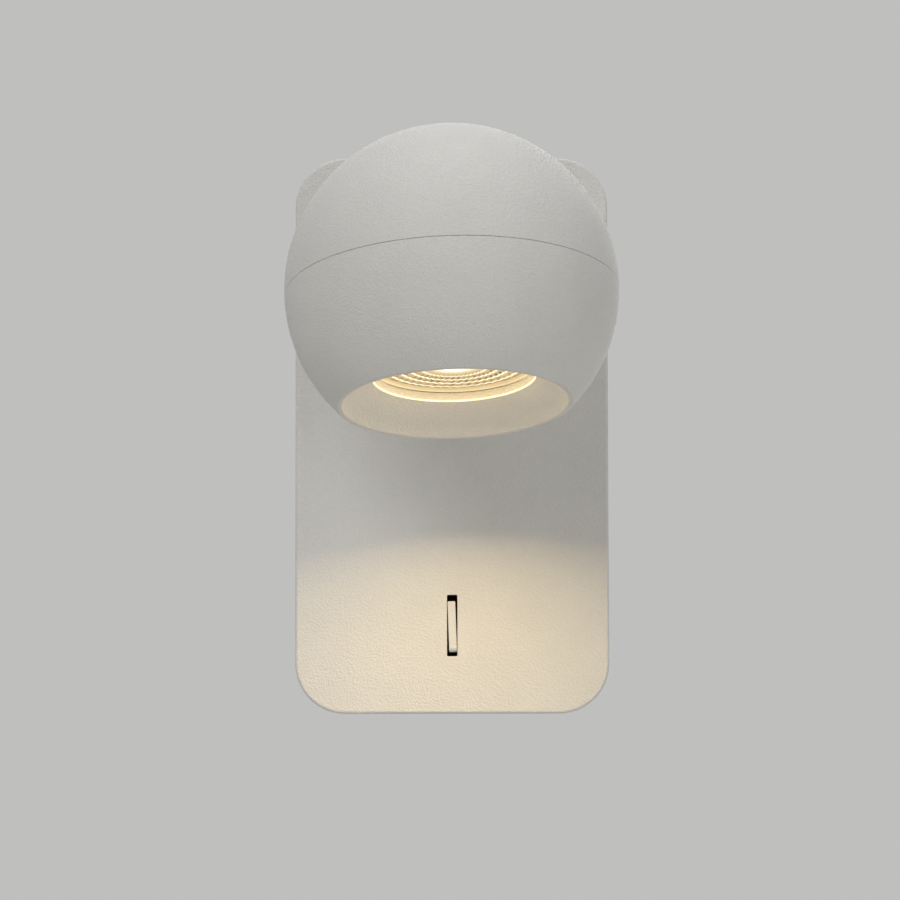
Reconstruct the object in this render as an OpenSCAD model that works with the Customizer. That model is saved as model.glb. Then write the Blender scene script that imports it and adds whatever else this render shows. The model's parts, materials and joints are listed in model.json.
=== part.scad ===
// Wall light: a ball head with a cut mouth stands off a rounded wall plate that carries a slot switch.
// Frame: +Z is up, the wall is the plane y = 0 with the wall itself towards +Y, and the front faces -Y.
// The origin is the middle of the plate's back, where the supply cable comes out of the wall.

/* [Wall plate] */
// Width of the wall plate
plate_w = 100; // [94:1:130]
// Height of the wall plate
plate_h = 178; // [172:1:220]
// Distance from the wall to the plate's front face
plate_depth = 20; // [19:0.5:28]
// Radius of the plate's corners
plate_corner_r = 16; // [6:1:24]
// Wall thickness of the plate
plate_wall = 1.5; // [1.2:0.1:2]
// Radius of the plate's front edge
plate_edge_r = 1; // [0.4:0.1:1.1]

/* [Ball head] */
// Outer diameter of the ball
ball_d = 100; // [99:1:120]
// Wall thickness of the ball's shells
ball_wall = 1.8; // [1.4:0.1:2]
// Distance from the plate's front face to the ball's centre
head_reach = 65; // [62:1:90]
// Distance from the plate's top edge down to the ball's centre
head_drop = 50; // [44:1:60]
// How far the mouth is tilted out from straight down, in degrees
head_tilt = 13.4; // [10:0.1:90]
// How far the head is turned anticlockwise as seen from the front, in degrees
head_turn = 1.7; // [-20:0.1:20]
// Distance of the seam below the ball's middle, towards the mouth
seam_drop = 1.2; // [0:0.1:2]
// Gap between the two shells at the seam
seam_gap = 0.2; // [0.1:0.05:0.5]

/* [Mouth] */
// Inner diameter of the mouth's lip
mouth_d = 67.4; // [60:0.1:70]
// Width of the lip
lip_w = 1.2; // [0.8:0.1:2]
// Depth of the cone from the lip to its inner edge
cone_depth = 8.9; // [7:0.1:11]
// Wall thickness of the cone
cone_wall = 1.6; // [1.2:0.1:2]
// Length of the straight throat behind the cone
throat_l = 2.7; // [1:0.1:3]
// How far the throat covers the lamp's rim
throat_cover = 0.75; // [0.3:0.05:1.5]

/* [Lamp] */
// Diameter of the lamp
lamp_d = 50; // [48:0.5:51]
// Length of the lamp from its rim to the shoulder of its base
lamp_l = 46.5; // [44:0.5:47]
// Diameter of the lamp's base
lamp_base_d = 24.4; // [22:0.2:26]
// Distance between the lamp's two pins
lamp_pin_pitch = 10; // [9:0.5:11]
// Diameter of the pins' heads
lamp_pin_d = 5; // [4:0.2:5.4]
// Length of the pins
lamp_pin_l = 7; // [6:0.2:8]
// How far the lens sits behind the lamp's rim
lens_recess = 0.35; // [0.2:0.05:2]
// Thickness of the lens
lens_t = 2.2; // [1.6:0.1:3]
// Radius of the ringed middle of the lens
lens_optic_r = 22; // [18:0.5:22.5]
// Number of rings on the lens
lens_rings = 4; // [2:1:6]

/* [Lamp holder] */
// Diameter of the lamp holder
holder_d = 26; // [24:0.5:28]
// Height of the lamp holder
holder_h = 14.5; // [13:0.5:15]
// Thickness of the strap that carries the holder
strap_t = 1.2; // [0.8:0.1:1.5]
// Width of the strap
strap_w = 14; // [10:1:16]

/* [Swivel] */
// Diameter of the stem
stem_d = 10; // [9:0.5:12]
// Diameter of the stem's threaded ends
stem_thread_d = 8; // [7:0.5:8.5]
// Bore of the stem for the leads
stem_bore_d = 5.5; // [5.3:0.1:6]
// Diameter of the stem's collar
collar_d = 16; // [14:0.5:20]
// Thickness of the stem's collar
collar_t = 3; // [2:0.5:5]
// Outer diameter of the bush
bush_d = 14; // [13:0.5:16]
// Diameter of the bush's flange
bush_flange_d = 22; // [18:0.5:26]
// Thickness of the bush's flange
bush_flange_t = 2; // [1.5:0.5:4]
// Width and height of the stiffening plate behind the wall plate
stiffener_w = 40; // [34:1:48]
// Thickness of the stiffening plate
stiffener_t = 2; // [1.5:0.5:2.5]
// Thickness of the swivel's spring washer
swivel_spring_t = 1.2; // [0.8:0.1:1.5]
// Thickness of the stop washer
stop_t = 1.5; // [1:0.1:2]
// Distance from the stem's axis to the middle of the stop peg
stop_r = 11.5; // [11:0.5:14]
// Diameter of the stop peg and width of the stop lug
stop_d = 3; // [2:0.5:4]
// Width across flats of the stem's nuts
stem_nut_af = 13; // [12:0.5:14]
// Thickness of the nut behind the plate
stem_nut_t = 3.5; // [2.5:0.5:4]
// Thickness of the nut inside the ball
yoke_nut_t = 2.8; // [2:0.2:3]

/* [Tilt] */
// Smallest tilt of the head, in degrees
tilt_min = 10; // [9.5:0.5:13]
// Largest tilt of the head, in degrees
tilt_max = 90; // [60:1:90]
// Width of the yoke's strap
yoke_w = 12; // [10:0.5:12]
// Thickness of the yoke's strap
yoke_t = 1.6; // [1.2:0.1:1.8]
// Air between the yoke and the ball's shells
yoke_air = 1.4; // [1.2:0.1:1.6]
// Diameter of the tilt studs
stud_d = 4; // [3:0.5:4]
// Thickness of the friction discs
disc_t = 0.8; // [0.6:0.1:1]
// Thickness of the tilt's spring washers
tilt_spring_t = 0.8; // [0.6:0.1:1.2]
// Width across flats of the tilt nuts
tilt_nut_af = 7; // [6:0.5:7.5]
// Thickness of the tilt nuts
tilt_nut_t = 3.2; // [2.4:0.2:4]
// Sheet thickness of the carrier frame
frame_t = 2; // [1.5:0.1:2.4]
// Width of the carrier frame's ears
ear_w = 12; // [10:0.5:12]

/* [Shell joint] */
// Angle of the front shell's hooks from the tilt axis, in degrees
hook_az = 60; // [58:1:62]
// Angle that each hook spans, in degrees
hook_span = 14; // [10:1:16]
// Turn that frees the front shell, in degrees
unlock_turn = 20; // [18:1:22]
// Thickness of the hooks
hook_t = 2; // [1.5:0.1:2.5]
// Length of the rear shell's locating lip below the seam
spigot_l = 2.5; // [1.5:0.5:3]
// Distance of the rear shell's posts from the head's axis
post_r = 35; // [33:0.5:36]
// Angle of the posts past the tilt axis, towards the front, in degrees
post_az = 25; // [22:1:28]
// Diameter of the posts
post_d = 7; // [6:0.5:7.5]

/* [Switch] */
// Width of the slot in the wall plate
slot_w = 3.3; // [3:0.1:4]
// Height of the slot
slot_h = 19.5; // [18.5:0.5:21]
// Height of the slot's middle above the plate's bottom edge
slot_rise = 28; // [26:1:34]
// Thickness of the lever
lever_t = 2.5; // [2:0.1:2.8]
// Length of the lever's front edge above its pivot
lever_up = 7.5; // [6:0.1:8.5]
// Length of the lever's front edge below its pivot
lever_down = 8.6; // [8:0.1:9.8]
// Distance from the lever's pivot to its front edge
lever_reach = 5; // [4.5:0.1:6]
// How far the lever leans back at the top when it is on, in degrees
lever_lean = 4; // [0:0.5:6]
// How far the lever is skewed in its slot, anticlockwise as seen from the front, in degrees
lever_skew = 2; // [-2:0.5:2]
// Radial play of the lever on its pin, which lets it sit skewed
lever_play = 0.08; // [0.05:0.01:0.1]
// Diameter of the lever's pin
lever_pin_d = 2; // [1.5:0.1:2.2]
// Width of the switch body
switch_w = 12; // [10:0.5:14]
// Height of the switch body
switch_h = 28; // [26:0.5:30]
// Depth of the switch body behind the wall plate
switch_depth = 13.5; // [13:0.5:14]
// Distance between the switch's fixing studs
switch_stud_pitch = 35; // [34:0.5:38]
// Width of the switch's terminal blades
blade_w = 4.8; // [2.8:0.1:6.3]
// Thickness of the terminal blades
blade_t = 0.8; // [0.5:0.1:0.8]
// Length of the terminal blades outside the switch
blade_out = 6.5; // [5:0.1:6.5]

/* [Wall bracket] */
// Width of the bracket's upright
bracket_w = 44; // [36:1:50]
// Sheet thickness of the bracket
bracket_t = 1.5; // [1:0.1:2]
// Width across the bracket's wings
wing_w = 80; // [74:1:86]
// Height of the wings
wing_h = 24; // [20:1:30]
// Distance between the two wall screws
fixing_pitch = 60; // [56:1:62]
// Width of the wall screws' slots
fixing_slot_w = 4.5; // [4:0.1:5.5]
// Overall length of the wall screws' slots
fixing_slot_l = 9; // [7:0.5:12]
// Hole for the cable grommet
cable_hole_d = 14; // [12:0.5:16]
// Bore of the cable grommet
cable_bore_d = 9; // [7:0.5:10]
// Flange diameter of the cable grommet
grommet_d = 18; // [17:0.5:20]
// Width of the tabs that take the cover screws
tab_w = 20; // [12:1:30]
// Height of the cover screws above the wall
cover_screw_z = 9; // [7:0.5:10]
// Diameter of the cover screws and of the small fixing screws
screw_d = 3; // [2.5:0.1:3.2]
// Diameter of the earth screw
earth_screw_d = 4; // [3.5:0.1:5]

/* [Terminal block] */
// Distance between the poles
pole_pitch = 10; // [9.5:0.5:11]
// Height of the block
block_h = 18; // [16:0.5:18]
// Depth of the block
block_depth = 13; // [12:0.5:14]
// Distance of the block's middle below the cable entry
block_drop = 22; // [21:0.5:24]
// Outer diameter of the brass sleeves
sleeve_d = 5.2; // [4.6:0.1:5.6]
// Bore of the brass sleeves
sleeve_bore_d = 3.8; // [3:0.1:4]
// Diameter of the clamping screws
clamp_screw_d = 2.6; // [2:0.1:3]

/* [Leads] */
// Diameter of the internal leads
lead_d = 2; // [1.4:0.1:2.2]
// Outer diameter of the sleeve on the leads in the stem
sleeving_d = 5.2; // [4.8:0.1:5.2]
// Wall of that sleeve
sleeving_wall = 0.5; // [0.3:0.05:0.6]

/* [Clearances] */
// Radial clearance of running fits
run_gap = 0.05; // [0.02:0.01:0.1]
// Radial clearance of parts pushed or screwed together
fit_gap = 0.05; // [0.02:0.01:0.1]
// Radial clearance of screws in plain holes
screw_gap = 0.2; // [0.1:0.05:0.4]
// Air around moving parts
move_gap = 0.4; // [0.3:0.05:0.6]
// Gap between faces that slide on each other
face_gap = 0.02; // [0.01:0.01:0.05]

/* [Hidden] */
$fn = 64;
over = 1;
hex_corner = 1 / cos(30);

// Colours
paint = "#e9e6df";
steel = "#a9adb0";
dark_steel = "#6e7276";
brass = "#c9a24a";
plastic = "#e4e2da";
black_plastic = "#262626";
nylon = "#d9d5c6";
rubber = "#2b2b2b";
china = "#efeee8";
lamp_grey = "#c9c8c4";
lens_tint = "#fff1cf";
fibre = "#6b3f2a";
brown = "#6d3f22";
blue = "#2e5fa8";
green = "#3f8f3a";
white_lead = "#f2efe6";

// Wall plate
corner_x = plate_w / 2 - plate_corner_r;
corner_y = plate_h / 2 - plate_corner_r;
inner_z = plate_depth - plate_wall;
slot_y = slot_rise - plate_h / 2;

// Small screws
pan_d = 1.85 * screw_d;
pan_h = 0.6 * screw_d;
cone_head_d = 2 * screw_d;
drive_w = 0.8;
screw_end = 1;
thread_share = 0.9;
nut_af = 5.5;
nut_t = 2.4;

// Wall bracket
cover_air = 0.6;
tab_y = plate_h / 2 - plate_wall - cover_air;
tab_h = cover_screw_z + tab_w / 4;
tab_grip = 1.5;
block_y = -block_drop;
poles = 3;
block_end = 0.5;
block_w = poles * pole_pitch + 2 * block_end;
block_fix_x = pole_pitch / 2;
sleeve_z = bracket_t + block_depth / 2;
sleeve_sunk = 1;
sleeve_l = block_h - 2 * sleeve_sunk;
clamp_screw_in = 4;
clamp_screw_y = sleeve_l / 2 - clamp_screw_in;
clamp_screw_sunk = 0.5;
earth_x = -13;
earth_y = 16;
earth_washer_t = 0.8;
earth_washer_rim = 2.5;
earth_washer_r = earth_screw_d / 2 + earth_washer_rim;
earth_tongue_w = 3;
earth_tongue_l = 7;
earth_head_h = 2.5;
earth_head_r = 3.5;
grommet_lip_t = 1.5;
grommet_nose_t = 1;

// Swivel stack, as distances from the wall
stem_y = plate_h / 2 - head_drop;
stiff_z = inner_z - stiffener_t;
bush_end_z = plate_depth + bush_flange_t;
collar_z = bush_end_z + face_gap;
spring_z = stiff_z - face_gap - swivel_spring_t;
stop_z = spring_z - stop_t;
stem_nut_z = stop_z - stem_nut_t;
stem_tail = 1.5;
stem_end_z = stem_nut_z - stem_tail;
ball_z = plate_depth + head_reach;
washer_over = 0.5;
stop_lug_end = stop_r + stop_d / 2 + washer_over;
swivel_washer_r = collar_d / 2 + washer_over;
sleeving_out = 0.5;
lead_tail = 1.9;
lead_nose = 0.9;

// Ball
ball_r = ball_d / 2;
ball_ri = ball_r - ball_wall;
ball_mid_r = ball_ri + ball_wall / 2;
seam_z = -seam_drop;
mouth_r = mouth_d / 2;
mouth_z = sqrt(pow(ball_r, 2) - pow(mouth_r + lip_w, 2));
cone_z = mouth_z - cone_depth;
throat_z = cone_z - throat_l;
opening_r = lamp_d / 2 - throat_cover;
cone_slope = cone_depth / (mouth_r - opening_r);
cone_run = norm([cone_depth, mouth_r - opening_r]);

// Yoke, as distances from the ball's centre
yoke_ro = ball_ri - yoke_air;
yoke_ri = yoke_ro - yoke_t;
pad_r = stem_nut_af * hex_corner / 2;
pad_rise = 0.2;
yoke_seat = yoke_ro + pad_rise;
pad_in = sqrt(pow(yoke_ri, 2) - pow(pad_r, 2)) - pad_rise;
yoke_nut_in = pad_in - yoke_nut_t;
stem_thread_out = 0.4;
stem_in = yoke_nut_in - stem_thread_out;
stem_l = ball_z - stem_in - stem_end_z;
ear_step = 0.8;
yoke_ear_x = yoke_ri - ear_step;
yoke_ear_reach = 10;
yoke_arc_lap = 5;
yoke_arc_start = asin(yoke_ear_reach / yoke_ro) - yoke_arc_lap;
rivet_rim = 1;
rivet_r = stud_d / 2 + rivet_rim;
rivet_t = 0.9;

// Tilt stack, as distances from the ball's centre along the tilt axis
frame_ear_out = yoke_ear_x - face_gap - disc_t;
frame_ear_in = frame_ear_out - frame_t;
tilt_spring_in = frame_ear_in - face_gap - tilt_spring_t;
tilt_nut_in = tilt_spring_in - tilt_nut_t;
stud_thread_out = 0.7;
stud_in = tilt_nut_in - stud_thread_out;

// Carrier frame
nut_air = 0.45;
lamp_air = 2;
stem_air = 1.7;
frame_z = tilt_nut_af * hex_corner / 2 + nut_air;
frame_top = frame_z + frame_t;
frame_ri = lamp_d / 2 + lamp_air;
frame_ro = stem_in - stem_air;
ear_lap = 3;
strap_edge = 1.2;
strap_foot_x = frame_ri + strap_edge;
strap_foot_l = 9;
strap_screw_in = 5;
strap_screw_x = strap_foot_x + strap_screw_in;
strap_bend = 0.2;
strap_leg_w = strap_t + strap_bend;

// Front shell's hooks
hook_grip = 1.2;
hook_air = 0.7;
hook_web_t = 3.2;
hook_rise = 0.2;
hook_base_drop = 0.5;
hook_base_t = 3;
hook_in = frame_ro - hook_grip;
hook_web_in = frame_ro + hook_air;
hook_web_out = hook_web_in + hook_web_t;
hook_z = frame_top + hook_rise;
hook_base_z = seam_z - spigot_l - hook_base_drop;
notch_margin = 2;
notch_air = 0.5;

// Rear shell
slot_half = stem_d / 2 + move_gap;
post_depth = 12;
spigot_gap = 0.25;
spigot_t = 1.2;
spigot_start = 200;
spigot_span = 140;

// Lamp, as heights along the head's axis, with the mouth towards -z
lamp_clear = 0.25;
lamp_face_z = lamp_clear - throat_z;
lamp_seat_z = lamp_face_z + lamp_l;
lens_z = lamp_face_z + lens_recess;
lens_back_z = lens_z + lens_t;
bezel_w = 1.6;
lens_gap = 0.1;
pocket_r = lamp_d / 2 - bezel_w;
lens_r = pocket_r - lens_gap;
lens_core_r = 8.8;
lens_ring_h = 0.6;
lens_ring_pitch = (lens_optic_r - lens_core_r) / lens_rings;
reflector_depth = 9;
reflector_ledge = 2;
board_z = lens_back_z + reflector_depth;
board_t = 1.6;
board_r = 17;
chip_r = 5;
chip_t = 0.8;
bezel_h = 5;
bezel_chamfer = 0.8;
bezel_taper = 1.2;
base_l = 9.7;
pin_neck_d = 3;
base_flare = 1.8;
base_flare_l = 2;
holder_top = lamp_seat_z + holder_h;
strap_top_x = holder_d / 2 + strap_edge;
holder_screw_in = 5;
holder_screw_x = holder_d / 2 - holder_screw_in;
holder_screw_l = 7;
lead_hole_x = 3;
lead_hole_rise = 9.3;
lead_hole_z = lamp_seat_z + lead_hole_rise;

// Switch, as distances from the wall
pivot_z = plate_depth - lever_reach;
switch_back = inner_z - switch_depth;
switch_floor = 2;
cavity_side = 0.55;
cavity_w = lever_t + 2 * cavity_side;
cavity_end = 1.25;
cavity_h = slot_h + 2 * cavity_end;
lever_body_t = 6;
lever_round_low = 1.2;
lever_round_top = 0.8;
nose_w = 3;
nose_l = 6.8;
hub_wall = 1.4;
hub_r = lever_pin_d / 2 + hub_wall;
flange_end = 3.5;
switch_flange_h = switch_stud_pitch + 2 * flange_end;
switch_flange_t = 2;
stud_tail = 1.2;
stud_l = switch_flange_t + nut_t + stud_tail;
leaf_t = 0.4;
leaf_w = 3;
leaf_bump = 1.4;
blade_wall = 1.2;
blade_x = cavity_w / 2 + blade_wall;
blade_in = 4;
blade_rise = 3.4;
blade_z = switch_back + blade_rise;

// Routes of the leads: points on the wall plate, as x, y up the wall and z out of the wall
live_route = [
    [0, -27, 8], [0, -31.5, 8], [0.6, -34, 8.2], [1.8, -36.5, 8.4], [2.8, -38.6, 8.4], [3, -40.3, 8.4]
];
switched_route = [
    [-3, -40.3, 8.4], [-3.4, -38.8, 8.4], [-6, -37.4, 8.2], [-11, -37.8, 7.8], [-17, -37, 7.2],
    [-20.5, -33, 6.8], [-21.5, -26, 6.6], [-21.5, -10, 6.2], [-21, 8, 5.8], [-19, 20, 5.4],
    [-13.5, 29, 5], [-8, 34.2, 4.6], [-3.5, 37.6, 4.4], [-1.4, 38.8, 5.2], [-1, 39, 6.4]
];
neutral_route = [
    [10, -27, 8], [10, -31.5, 8], [11.5, -34.5, 7.8], [15, -35, 7.4], [18.5, -32, 7], [20, -26, 6.6],
    [20.5, -14, 6.2], [20.5, 4, 6], [19, 18, 5.6], [14, 28, 5], [8, 34, 4.6], [3.5, 37.6, 4.4],
    [1.4, 38.8, 5.2], [1, 39, 6.4]
];
earth_route = [
    [-10, -27, 8], [-10, -31.5, 8], [-11.5, -34, 7.6], [-14.5, -34.4, 7], [-17, -31, 6.4],
    [-17.2, -24, 6], [-17, -12, 5.4], [-16.6, -2, 4.6], [-14.4, 4, 3.4], [-13, 8.8, 2.8]
];
// Route of a lead inside the ball, from the holder to the stem's mouth, in the head's own frame
holder_route = [
    [3, 10, 31.8], [3, 15, 31.8], [3, 19.5, 31], [2.8, 24, 28.4], [2.6, 28, 24.6], [2.2, 31.4, 20.2],
    [1.8, 34, 15.6], [1.4, 36, 12], [1, 37.8, 9.1]
];

// Frames of the moving bodies
module on_wall() rotate([90, 0, 0]) children();
module at_bush() on_wall() translate([0, stem_y, 0]) children();
module at_stem() at_bush() rotate([0, 0, head_turn]) children();
module at_yoke() at_stem() translate([0, 0, ball_z]) rotate([-90, 0, 0]) children();
module at_head() at_yoke() rotate([-head_tilt, 0, 0]) children();
module at_switch() on_wall() translate([0, slot_y, 0]) children();
module both_sides() {
    children();
    mirror([1, 0, 0]) children();
}

// Plain shapes that repeat
module ring(ro, ri, t) {
    difference() {
        cylinder(r = ro, h = t);
        translate([0, 0, -over]) cylinder(r = ri, h = t + 2 * over);
    }
}

module hex_nut(af, t, hole_r) {
    difference() {
        cylinder(r = af * hex_corner / 2, h = t, $fn = 6);
        translate([0, 0, -over]) cylinder(r = hole_r, h = t + 2 * over);
    }
}

module drive_slot(d, top) {
    translate([-d, -drive_w / 2, top - drive_w]) cube([2 * d, drive_w, 2 * drive_w]);
}

// Screw with a flat-sided round head whose underside is at z = 0
module pan_screw(d, l, head_r, head_h) {
    difference() {
        union() {
            translate([0, 0, -l]) cylinder(r = d / 2, h = l + head_h / 2);
            cylinder(r = head_r, h = head_h);
        }
        drive_slot(head_r, head_h);
    }
}

// Screw with a flush cone head whose top is at z = 0
module flush_screw(d, l, head_d, head_h) {
    difference() {
        union() {
            translate([0, 0, -l]) cylinder(r = d / 2, h = l - head_h / 2);
            translate([0, 0, -head_h]) cylinder(r1 = d / 2, r2 = head_d / 2, h = head_h);
        }
        drive_slot(head_d / 2, 0);
    }
}

// Round tube along a list of points
function unit(v) = v / norm(v);
function tangents(p) = [for (i = [0:len(p) - 1]) unit(p[min(i + 1, len(p) - 1)] - p[max(i - 1, 0)])];
function across(v, t) = unit(v - (v * t) * t);
function side_vectors(t, v, i = 0, done = []) =
    i == len(t) ? done : let (s = across(v, t[i])) side_vectors(t, s, i + 1, concat(done, [s]));
module tube(route, d, sides = 8) {
    t = tangents(route);
    s = side_vectors(t, [0.3, 0.2, 1]);
    rings = len(route);
    points = [
        for (i = [0:rings - 1]) for (k = [0:sides - 1]) let (a = 360 * k / sides)
            route[i] + d / 2 * (cos(a) * s[i] + sin(a) * cross(t[i], s[i]))
    ];
    walls = [
        for (i = [0:rings - 2]) for (k = [0:sides - 1])
            let (a = i * sides + k, b = i * sides + (k + 1) % sides)
                each [[a, b + sides, b], [a, a + sides, b + sides]]
    ];
    first = [for (k = [1:sides - 2]) [0, k, k + 1]];
    last = [for (k = [1:sides - 2]) let (b = (rings - 1) * sides) [b, b + k + 1, b + k]];
    polyhedron(points, concat(walls, first, last));
}

// Wall plate: a tray whose wall section is carried round its rounded outline
module tray_section() {
    difference() {
        union() {
            square([plate_corner_r - plate_edge_r, plate_depth]);
            square([plate_corner_r, plate_depth - plate_edge_r]);
            translate([plate_corner_r - plate_edge_r, plate_depth - plate_edge_r]) circle(plate_edge_r);
        }
        translate([-over, -over]) square([plate_corner_r - plate_wall + over, inner_z + over]);
    }
}

module tray_side(distance, length) {
    translate([distance, length / 2, 0]) rotate([90, 0, 0]) linear_extrude(length) tray_section();
}

module tray_corner(x, y, turn) {
    translate([x, y, 0]) rotate([0, 0, turn]) rotate_extrude(angle = 90) tray_section();
}

module tray() {
    tray_corner(corner_x, corner_y, 0);
    tray_corner(-corner_x, corner_y, 90);
    tray_corner(-corner_x, -corner_y, 180);
    tray_corner(corner_x, -corner_y, 270);
    for (turn = [0, 180]) rotate([0, 0, turn]) {
        tray_side(corner_x, 2 * corner_y);
        rotate([0, 0, 90]) tray_side(corner_y, 2 * corner_x);
    }
    translate([-corner_x, -corner_y, inner_z]) cube([2 * corner_x, 2 * corner_y, plate_wall]);
}

module cover_screw_place() {
    for (turn = [0, 180]) rotate([0, 0, turn])
        translate([0, plate_h / 2, cover_screw_z]) rotate([-90, 0, 0]) children();
}

module wall_cover() {
    color(paint) on_wall() {
        difference() {
            tray();
            translate([-slot_w / 2, slot_y - slot_h / 2, inner_z - over])
                cube([slot_w, slot_h, plate_wall + 2 * over]);
            translate([0, stem_y, inner_z - over])
                cylinder(r = bush_d / 2 + fit_gap, h = plate_wall + 2 * over);
            cover_screw_place() {
                translate([0, 0, -plate_wall - over])
                    cylinder(r = screw_d / 2 + screw_gap, h = plate_wall + 2 * over);
                translate([0, 0, -plate_wall])
                    cylinder(r1 = screw_d / 2 + fit_gap, r2 = cone_head_d / 2 + fit_gap, h = plate_wall);
            }
        }
        for (side = [-1, 1]) translate([0, slot_y + side * switch_stud_pitch / 2, inner_z - stud_l])
            cylinder(r = screw_d / 2, h = stud_l + plate_wall / 2);
    }
}

// Wall bracket and what it carries
module bracket_outline() {
    translate([-bracket_w / 2, -tab_y]) square([bracket_w, 2 * tab_y]);
    translate([-wing_w / 2, -wing_h / 2]) square([wing_w, wing_h]);
}

module fixing_slot() {
    straight = fixing_slot_l - fixing_slot_w;
    translate([-straight / 2, -fixing_slot_w / 2]) square([straight, fixing_slot_w]);
    for (side = [-1, 1]) translate([side * straight / 2, 0]) circle(fixing_slot_w / 2);
}

module wall_bracket() {
    color(steel) on_wall() difference() {
        union() {
            linear_extrude(bracket_t) difference() {
                bracket_outline();
                for (side = [-1, 1]) translate([side * fixing_pitch / 2, 0]) fixing_slot();
                circle(cable_hole_d / 2);
                translate([block_fix_x, block_y]) circle(screw_d / 2 + fit_gap);
                translate([earth_x, earth_y]) circle(earth_screw_d / 2 + fit_gap);
            }
            for (side = [-1, 1]) translate([-tab_w / 2, side * (tab_y - bracket_t / 2) - bracket_t / 2, 0])
                cube([tab_w, bracket_t, tab_h]);
        }
        cover_screw_place() translate([0, 0, -plate_h / 2 + tab_y - bracket_t - over])
            cylinder(r = screw_d / 2 + fit_gap, h = bracket_t + 2 * over);
    }
}

module cable_grommet() {
    color(rubber) on_wall() rotate_extrude() polygon([
        [cable_bore_d / 2, 0],
        [cable_hole_d / 2 - fit_gap, 0],
        [cable_hole_d / 2 - fit_gap, bracket_t],
        [grommet_d / 2, bracket_t],
        [grommet_d / 2, bracket_t + grommet_lip_t],
        [cable_bore_d / 2 + grommet_nose_t, bracket_t + grommet_lip_t + grommet_nose_t],
        [cable_bore_d / 2, bracket_t + grommet_lip_t + grommet_nose_t]
    ]);
}

module cover_screws() {
    length = plate_h / 2 - tab_y + bracket_t + tab_grip;
    color(steel) on_wall() cover_screw_place() flush_screw(screw_d, length, cone_head_d, plate_wall);
}

module at_poles() {
    for (i = [0:poles - 1])
        translate([(i - (poles - 1) / 2) * pole_pitch, block_y, sleeve_z]) children();
}

module terminal_block() {
    color(plastic) on_wall() difference() {
        translate([-block_w / 2, block_y - block_h / 2, bracket_t]) cube([block_w, block_h, block_depth]);
        at_poles() {
            translate([0, block_h / 2 + over, 0]) rotate([90, 0, 0])
                cylinder(r = sleeve_d / 2 + fit_gap, h = block_h + 2 * over);
            for (side = [-1, 1]) translate([0, side * clamp_screw_y, 0])
                cylinder(r = clamp_screw_d / 2 + fit_gap, h = block_depth);
        }
        translate([block_fix_x, block_y, 0])
            cylinder(r = screw_d / 2 + screw_gap, h = 2 * block_depth);
    }
}

module terminal_sleeves() {
    color(brass) on_wall() at_poles() translate([0, sleeve_l / 2, 0]) rotate([90, 0, 0])
        ring(sleeve_d / 2, sleeve_bore_d / 2, sleeve_l);
}

module terminal_screws() {
    length = block_depth / 2 - sleeve_d / 2 - clamp_screw_sunk;
    color(brass) on_wall() at_poles() for (side = [-1, 1])
        translate([0, side * clamp_screw_y, sleeve_d / 2]) difference() {
            cylinder(r = clamp_screw_d / 2, h = length);
            drive_slot(clamp_screw_d / 2, length);
        }
}

module block_screw() {
    color(steel) on_wall() translate([block_fix_x, block_y, bracket_t + block_depth])
        pan_screw(screw_d, block_depth + bracket_t * thread_share, pan_d / 2, pan_h);
}

module earth_screw() {
    color(brass) on_wall() translate([earth_x, earth_y, bracket_t + earth_washer_t])
        pan_screw(earth_screw_d, earth_washer_t + bracket_t * thread_share, earth_head_r, earth_head_h);
}

module earth_lug() {
    color(brass) on_wall() translate([earth_x, earth_y, bracket_t]) difference() {
        union() {
            cylinder(r = earth_washer_r, h = earth_washer_t);
            translate([-earth_tongue_w / 2, -earth_tongue_l, 0])
                cube([earth_tongue_w, earth_tongue_l, earth_washer_t]);
        }
        translate([0, 0, -over]) cylinder(r = earth_screw_d / 2 + fit_gap, h = earth_washer_t + 2 * over);
    }
}

module live_lead() { color(brown) on_wall() tube(live_route, lead_d); }
module switched_lead() { color(brown) on_wall() tube(switched_route, lead_d); }
module neutral_lead() { color(blue) on_wall() tube(neutral_route, lead_d); }
module earth_lead() { color(green) on_wall() tube(earth_route, lead_d); }

// Switch behind the slot
module switch_body() {
    color(black_plastic) at_switch() difference() {
        union() {
            translate([-switch_w / 2, -switch_h / 2, switch_back]) cube([switch_w, switch_h, switch_depth]);
            translate([-switch_w / 2, -switch_flange_h / 2, inner_z - switch_flange_t])
                cube([switch_w, switch_flange_h, switch_flange_t]);
        }
        translate([-cavity_w / 2, -cavity_h / 2, switch_back + switch_floor])
            cube([cavity_w, cavity_h, switch_depth]);
        translate([-switch_w / 2 - over, 0, pivot_z]) rotate([0, 90, 0])
            cylinder(r = lever_pin_d / 2 + fit_gap, h = switch_w + 2 * over);
        for (side = [-1, 1]) translate([0, side * switch_stud_pitch / 2, inner_z - switch_flange_t - over])
            cylinder(r = screw_d / 2 + fit_gap, h = switch_flange_t + 2 * over);
        both_sides()
            translate([blade_x - fit_gap, switch_h / 2 - blade_in, blade_z - blade_w / 2 - fit_gap])
                cube([blade_t + 2 * fit_gap, blade_in + over, blade_w + 2 * fit_gap]);
    }
}

module switch_nuts() {
    color(steel) at_switch() for (side = [-1, 1])
        translate([0, side * switch_stud_pitch / 2, inner_z - switch_flange_t - nut_t])
            hex_nut(nut_af, nut_t, screw_d / 2 + fit_gap);
}

module switch_pin() {
    color(steel) at_switch() translate([-switch_w / 2, 0, pivot_z]) rotate([0, 90, 0])
        cylinder(r = lever_pin_d / 2, h = switch_w);
}

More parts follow.
